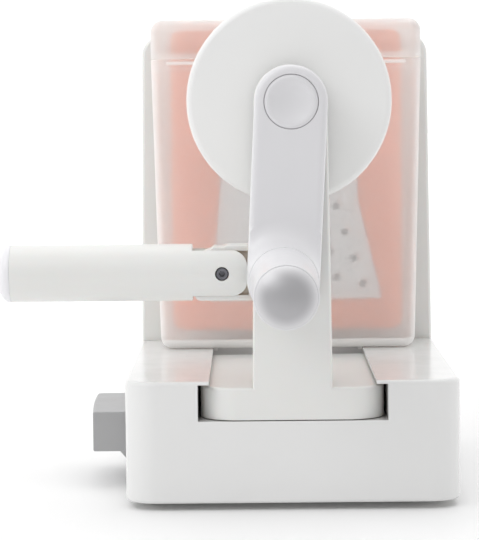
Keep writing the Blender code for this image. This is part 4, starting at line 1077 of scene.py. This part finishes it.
def tooth_places(kind):
    """Where the plate is pierced: coarse rows fan out downwards, and fine ones stand in a staggered grid."""
    apex = 144
    places = []
    if kind == "coarse":
        for column in range(-1, 4):
            for row in range(6):
                down = 47.7 + 13.8 * row + 3.2 * (column % 2)
                places.append((0.111 * column * down - 0.1, apex - down))
    if kind == "fine":
        for column in range(-2, 3):
            for row in range(7):
                places.append((column * 11 + 5.5 * (row % 2), 28 + 17 * row))
    return [(x, z) for x, z in places if 24 < z < apex]


def tooth(bm, x, z, face, size, sides=32):
    """A punched tooth: a crater whose upper rim stands up as a cutting edge, in front of the plate's face."""
    profile = ((1.75, 0.0), (1.5, 0.25), (1.22, 0.8), (1.05, 1.0), (0.95, 0.9), (0.95, -0.2), (1.75, -0.2))
    rows = []
    for reach, height in profile:
        row = []
        for i in range(sides):
            angle = 2 * math.pi * i / sides
            rise = max(0.0, height) * (0.3 + 0.7 * (0.5 + 0.5 * math.sin(angle)) ** 1.5)
            depth = rise if height > 0 else height
            row.append(bm.verts.new(metres(x + size * reach * math.cos(angle), face - size * 0.62 * depth,
                                           z + size * reach * math.sin(angle))))
        rows.append(row)
    for low, high in zip(rows, rows[1:] + rows[:1]):
        for i in range(sides):
            j = (i + 1) % sides
            bm.faces.new((low[i], low[j], high[j], high[i]))


def insert(name, kind):
    """A plastic frame with a pierced steel plate let into its front face."""
    low, high = corners_of(f"{name}_frame")
    plate_low, plate_high = corners_of(f"{name}_plate")
    to_place = moved(0, low.y, low.z)
    start, back, depth = plate_low.y - low.y, plate_high.y - low.y, high.y - low.y
    outline = rounded(-high.x, high.x, 0, high.z - low.z, [6] * 4, 10)
    piece = to_object(f"{name}_tray", slab(outline, "Y", 0, depth, 1, 0.6))
    carve(piece, slab(inset(outline, 4), "Y", INSERT_WEB, depth + 2, 0.8, 0))
    carve(piece, prism(plate_points(1.5), "Y", INSERT_WEB - 1, depth - 2), "UNION")
    carve(piece, prism(plate_points(-2.5, 2), "Y", -2, depth + 2))
    carve(piece, prism(plate_points(GAP), "Y", -2, back + 0.3))
    soften(piece, 0.4)
    piece.data.transform(to_place)
    present(piece, "orange_plastic", f"{name}_frame")
    plate = to_object(f"{name}_blade", prism(plate_points(), "Y", start, back))
    cutter, teeth = bmesh.new(), bmesh.new()
    if kind == "slicer":
        block((-30, -2, 118), (31, 3, 121.5), cutter)
        wedge = [(start - 1.6, 121), (start + 0.1, 123.4), (start + 0.1, 132), (start - 0.3, 132)]
        prism(wedge, "X", -29.5, 30.5, teeth)
    for x, z in tooth_places(kind):
        rod(1.9, "Y", -2, 3, (x, 0, z), 32, cutter)
        tooth(teeth, x, z, start, 2.1)
    carve(plate, cutter)
    raised = to_object("raised", teeth)
    whole = bmesh.new()
    for mesh in (plate.data, raised.data):
        whole.from_mesh(mesh)
    whole.to_mesh(plate.data)
    whole.free()
    bpy.data.objects.remove(raised)
    plate.data.transform(to_place)
    present(plate, "brushed_steel", f"{name}_plate")


# ---- storage box


def box_ring(z, shrink=0.0, half=None):
    """A ring round the box at height z; its sides lean outwards going up."""
    low, high = corners_of("storage_box")
    front, rear = low.y + 0.8, high.y
    share = min(1.0, max(0.0, (z - BOX_BOTTOM) / (BOX_RIM - BOX_BOTTOM)))
    half = (half or BOX_HALF_BOTTOM + (BOX_HALF_TOP - BOX_HALF_BOTTOM) * share) - shrink
    inwards = 0.6 * (1 - share) + shrink
    radius = max(1, BOX_CORNER - shrink)
    return lift(rounded(-half, half, front + inwards, rear - inwards, [radius] * 4, 12), "Z", z)


def fillet_rings(level, way, radius, shrink=0.0, half=None):
    """Rings round the box's rounded edge, from its side wall to its flat at level; way is 1 when the wall goes up."""
    angles = [math.pi / 2 * step / 10 for step in range(11)]
    return [box_ring(level + way * radius * (1 - math.sin(a)), shrink + radius * (1 - math.cos(a)), half)
            for a in angles]


def paint_milky_light(piece, chosen):
    """Painted light: gives the faces at the chosen places a whiter, milkier plastic, the look of ribs and rims that
    catch the light, painted into their colour.
    """
    piece.data.materials.append(material("painted_light_plastic"))
    for face in piece.data.polygons:
        if chosen(face.center / MM):
            face.material_index = 1


def storage_box():
    low, high = corners_of("storage_box")
    fillet = 6
    neck = BOX_WALL + GAP
    inner, neck_top, lip = neck + 1.4, 217.5, 0.4
    rings = fillet_rings(BOX_BOTTOM, 1, fillet)[::-1]
    rings += [box_ring(BOX_BOTTOM + (BOX_RIM - BOX_BOTTOM) * share) for share in (0.25, 0.5, 0.75)]
    rings += [box_ring(z, shrink) for z, shrink in (
        (BOX_RIM - lip, 0), (BOX_RIM - 0.1, 0.1), (BOX_RIM, lip), (BOX_RIM, neck), (neck_top - lip, neck),
        (neck_top, neck + lip), (neck_top, inner - lip), (neck_top - lip, inner), (BOX_RIM - 4, inner),
        (BOX_RIM - 6, BOX_WALL))]
    rings += fillet_rings(BOX_BOTTOM + BOX_WALL, 1, fillet - BOX_WALL, BOX_WALL)
    box = to_object("box_shell", loft(rings))
    bead = rounded(-62.7, 62.7, 211.6, 213.4, [0.85] * 4, 6)
    carve(box, slab(bead, "Y", low.y, low.y + 1.6, 0.6, 0), "UNION")
    rests = bmesh.new()
    rest_top = corners_of("stored_insert_frame")[0].z - GAP
    rib = SLOT_HALF - GAP
    for x, width, start, end in ((-38, 4, BOX_BOTTOM + 1, rest_top), (34, 4, BOX_BOTTOM + 1, rest_top),
                                 (-rib, 2, low.z, BOX_BOTTOM + 1), (rib - 2, 2, low.z, BOX_BOTTOM + 1)):
        block((x, low.y + 10.8, start), (x + width, high.y - 8, end), rests)
    carve(box, rests, "UNION")
    present(box, "frosted_plastic", "storage_box")
    # painted light: the box's lowest band is whitened against the shade that gathers there, and the bead's front as a
    # painted highlight
    paint_milky_light(box, lambda at: at.z < BOX_BOTTOM + 5 or at.y < low.y + 0.75 and at.z > 211)


def box_lid():
    low, high = corners_of("box_lid")
    half = high.x
    fillet, wall, edge = 6.5, BOX_WALL - 0.2, 0.35
    rings = fillet_rings(high.z, -1, fillet, 0, half)[::-1]
    rings += [box_ring(z, shrink, half) for z, shrink in (
        (low.z + edge, 0), (low.z, edge), (low.z, wall - edge), (low.z + edge, wall))]
    rings += fillet_rings(high.z - wall, -1, fillet - wall, wall, half)
    lid = present(to_object("lid_shell", loft(rings)), "lid_plastic_painted_shade", "box_lid")
    # painted highlight: the lid's lower rim is whitened, so that its seam shows as a bright line
    paint_milky_light(lid, lambda at: at.z < low.z + 1.1 * edge)


# ---- stage


def camera():
    """A long lens a little left of the object's centre, looking slightly down."""
    lens = bpy.data.cameras.new("camera")
    lens.lens = 156.9
    lens.sensor_width = 36
    lens.clip_end = 50
    made = linked("camera", lens)
    pan, tilt, roll = (math.radians(angle) for angle in (0.307, 90 - 4.546, -0.573))
    turn = Matrix.Rotation(pan, 4, "Z") @ Matrix.Rotation(tilt, 4, "X") @ Matrix.Rotation(roll, 4, "Z")
    made.matrix_world = Matrix.Translation((-0.0187, -1.218, 0.202)) @ turn
    bpy.context.scene.camera = made


def softbox(name, location, size, power):
    """A square area light that faces the object's middle."""
    light = bpy.data.lights.new(name, "AREA")
    light.shape = "RECTANGLE"
    light.size = light.size_y = size
    light.energy = power
    made = linked(name, light)
    made.location = location
    middle = (Vector(cad_box[0]) + Vector(cad_box[1])) / 2
    made.rotation_euler = (middle - Vector(location)).to_track_quat("-Z", "Y").to_euler()


def studio():
    """A white room that is darker on the crank's side, where the photographer stands."""
    world = bpy.data.worlds.new("studio")
    bpy.context.scene.world = world
    world.use_nodes = True
    tree = world.node_tree
    background = tree.nodes["Background"]
    background.inputs["Color"].default_value = (1, 1, 1, 1)
    split = tree.nodes.new("ShaderNodeSeparateXYZ")
    tree.links.new(tree.nodes.new("ShaderNodeTexCoord").outputs["Generated"], split.inputs[0])
    ramp = tree.nodes.new("ShaderNodeMapRange")
    ramp.interpolation_type = "SMOOTHSTEP"
    for key, value in (("From Min", -1.0), ("From Max", 0.55), ("To Min", 0.6), ("To Max", 1.12)):
        ramp.inputs[key].default_value = value
    tree.links.new(split.outputs["Y"], ramp.inputs["Value"])
    tree.links.new(ramp.outputs["Result"], background.inputs["Strength"])
    softbox("key", (-1.5, -0.9, 1.6), 1.2, 8.5)
    softbox("front", (-0.5, -0.8, 0.95), 0.7, 1.15)
    softbox("top", (0.1, 0.3, 1.9), 1.4, 4)
    floor = to_object("floor", prism(rounded(-6000, 6000, -4000, 8000, [1000] * 4), "Z", -20, 0))
    floor.data.materials.append(floor_finish())
    bpy.context.scene.view_settings.view_transform = "Standard"


def main():
    base_shell()
    base_underside()
    suction_disc()
    put_screws(BASE_SCREWS, "Z", False, 16, 2.8, 1.2)
    lever()
    stem()
    carriage()
    bracket()
    tower_back()
    put_screws(TOWER_SCREWS, "Y", True, 12, 2.5, 1.2)
    bush("front_bush", -1)
    bush("rear_bush", 1)
    crank_arm()
    crank_fittings()
    food_holder()
    knob()
    push_handle()
    hinge_bolt()
    upright()
    insert("fitted_insert", "fine")
    insert("stored_insert", "coarse")
    insert("spare_insert", "slicer")
    storage_box()
    box_lid()
    camera()
    studio()


main()
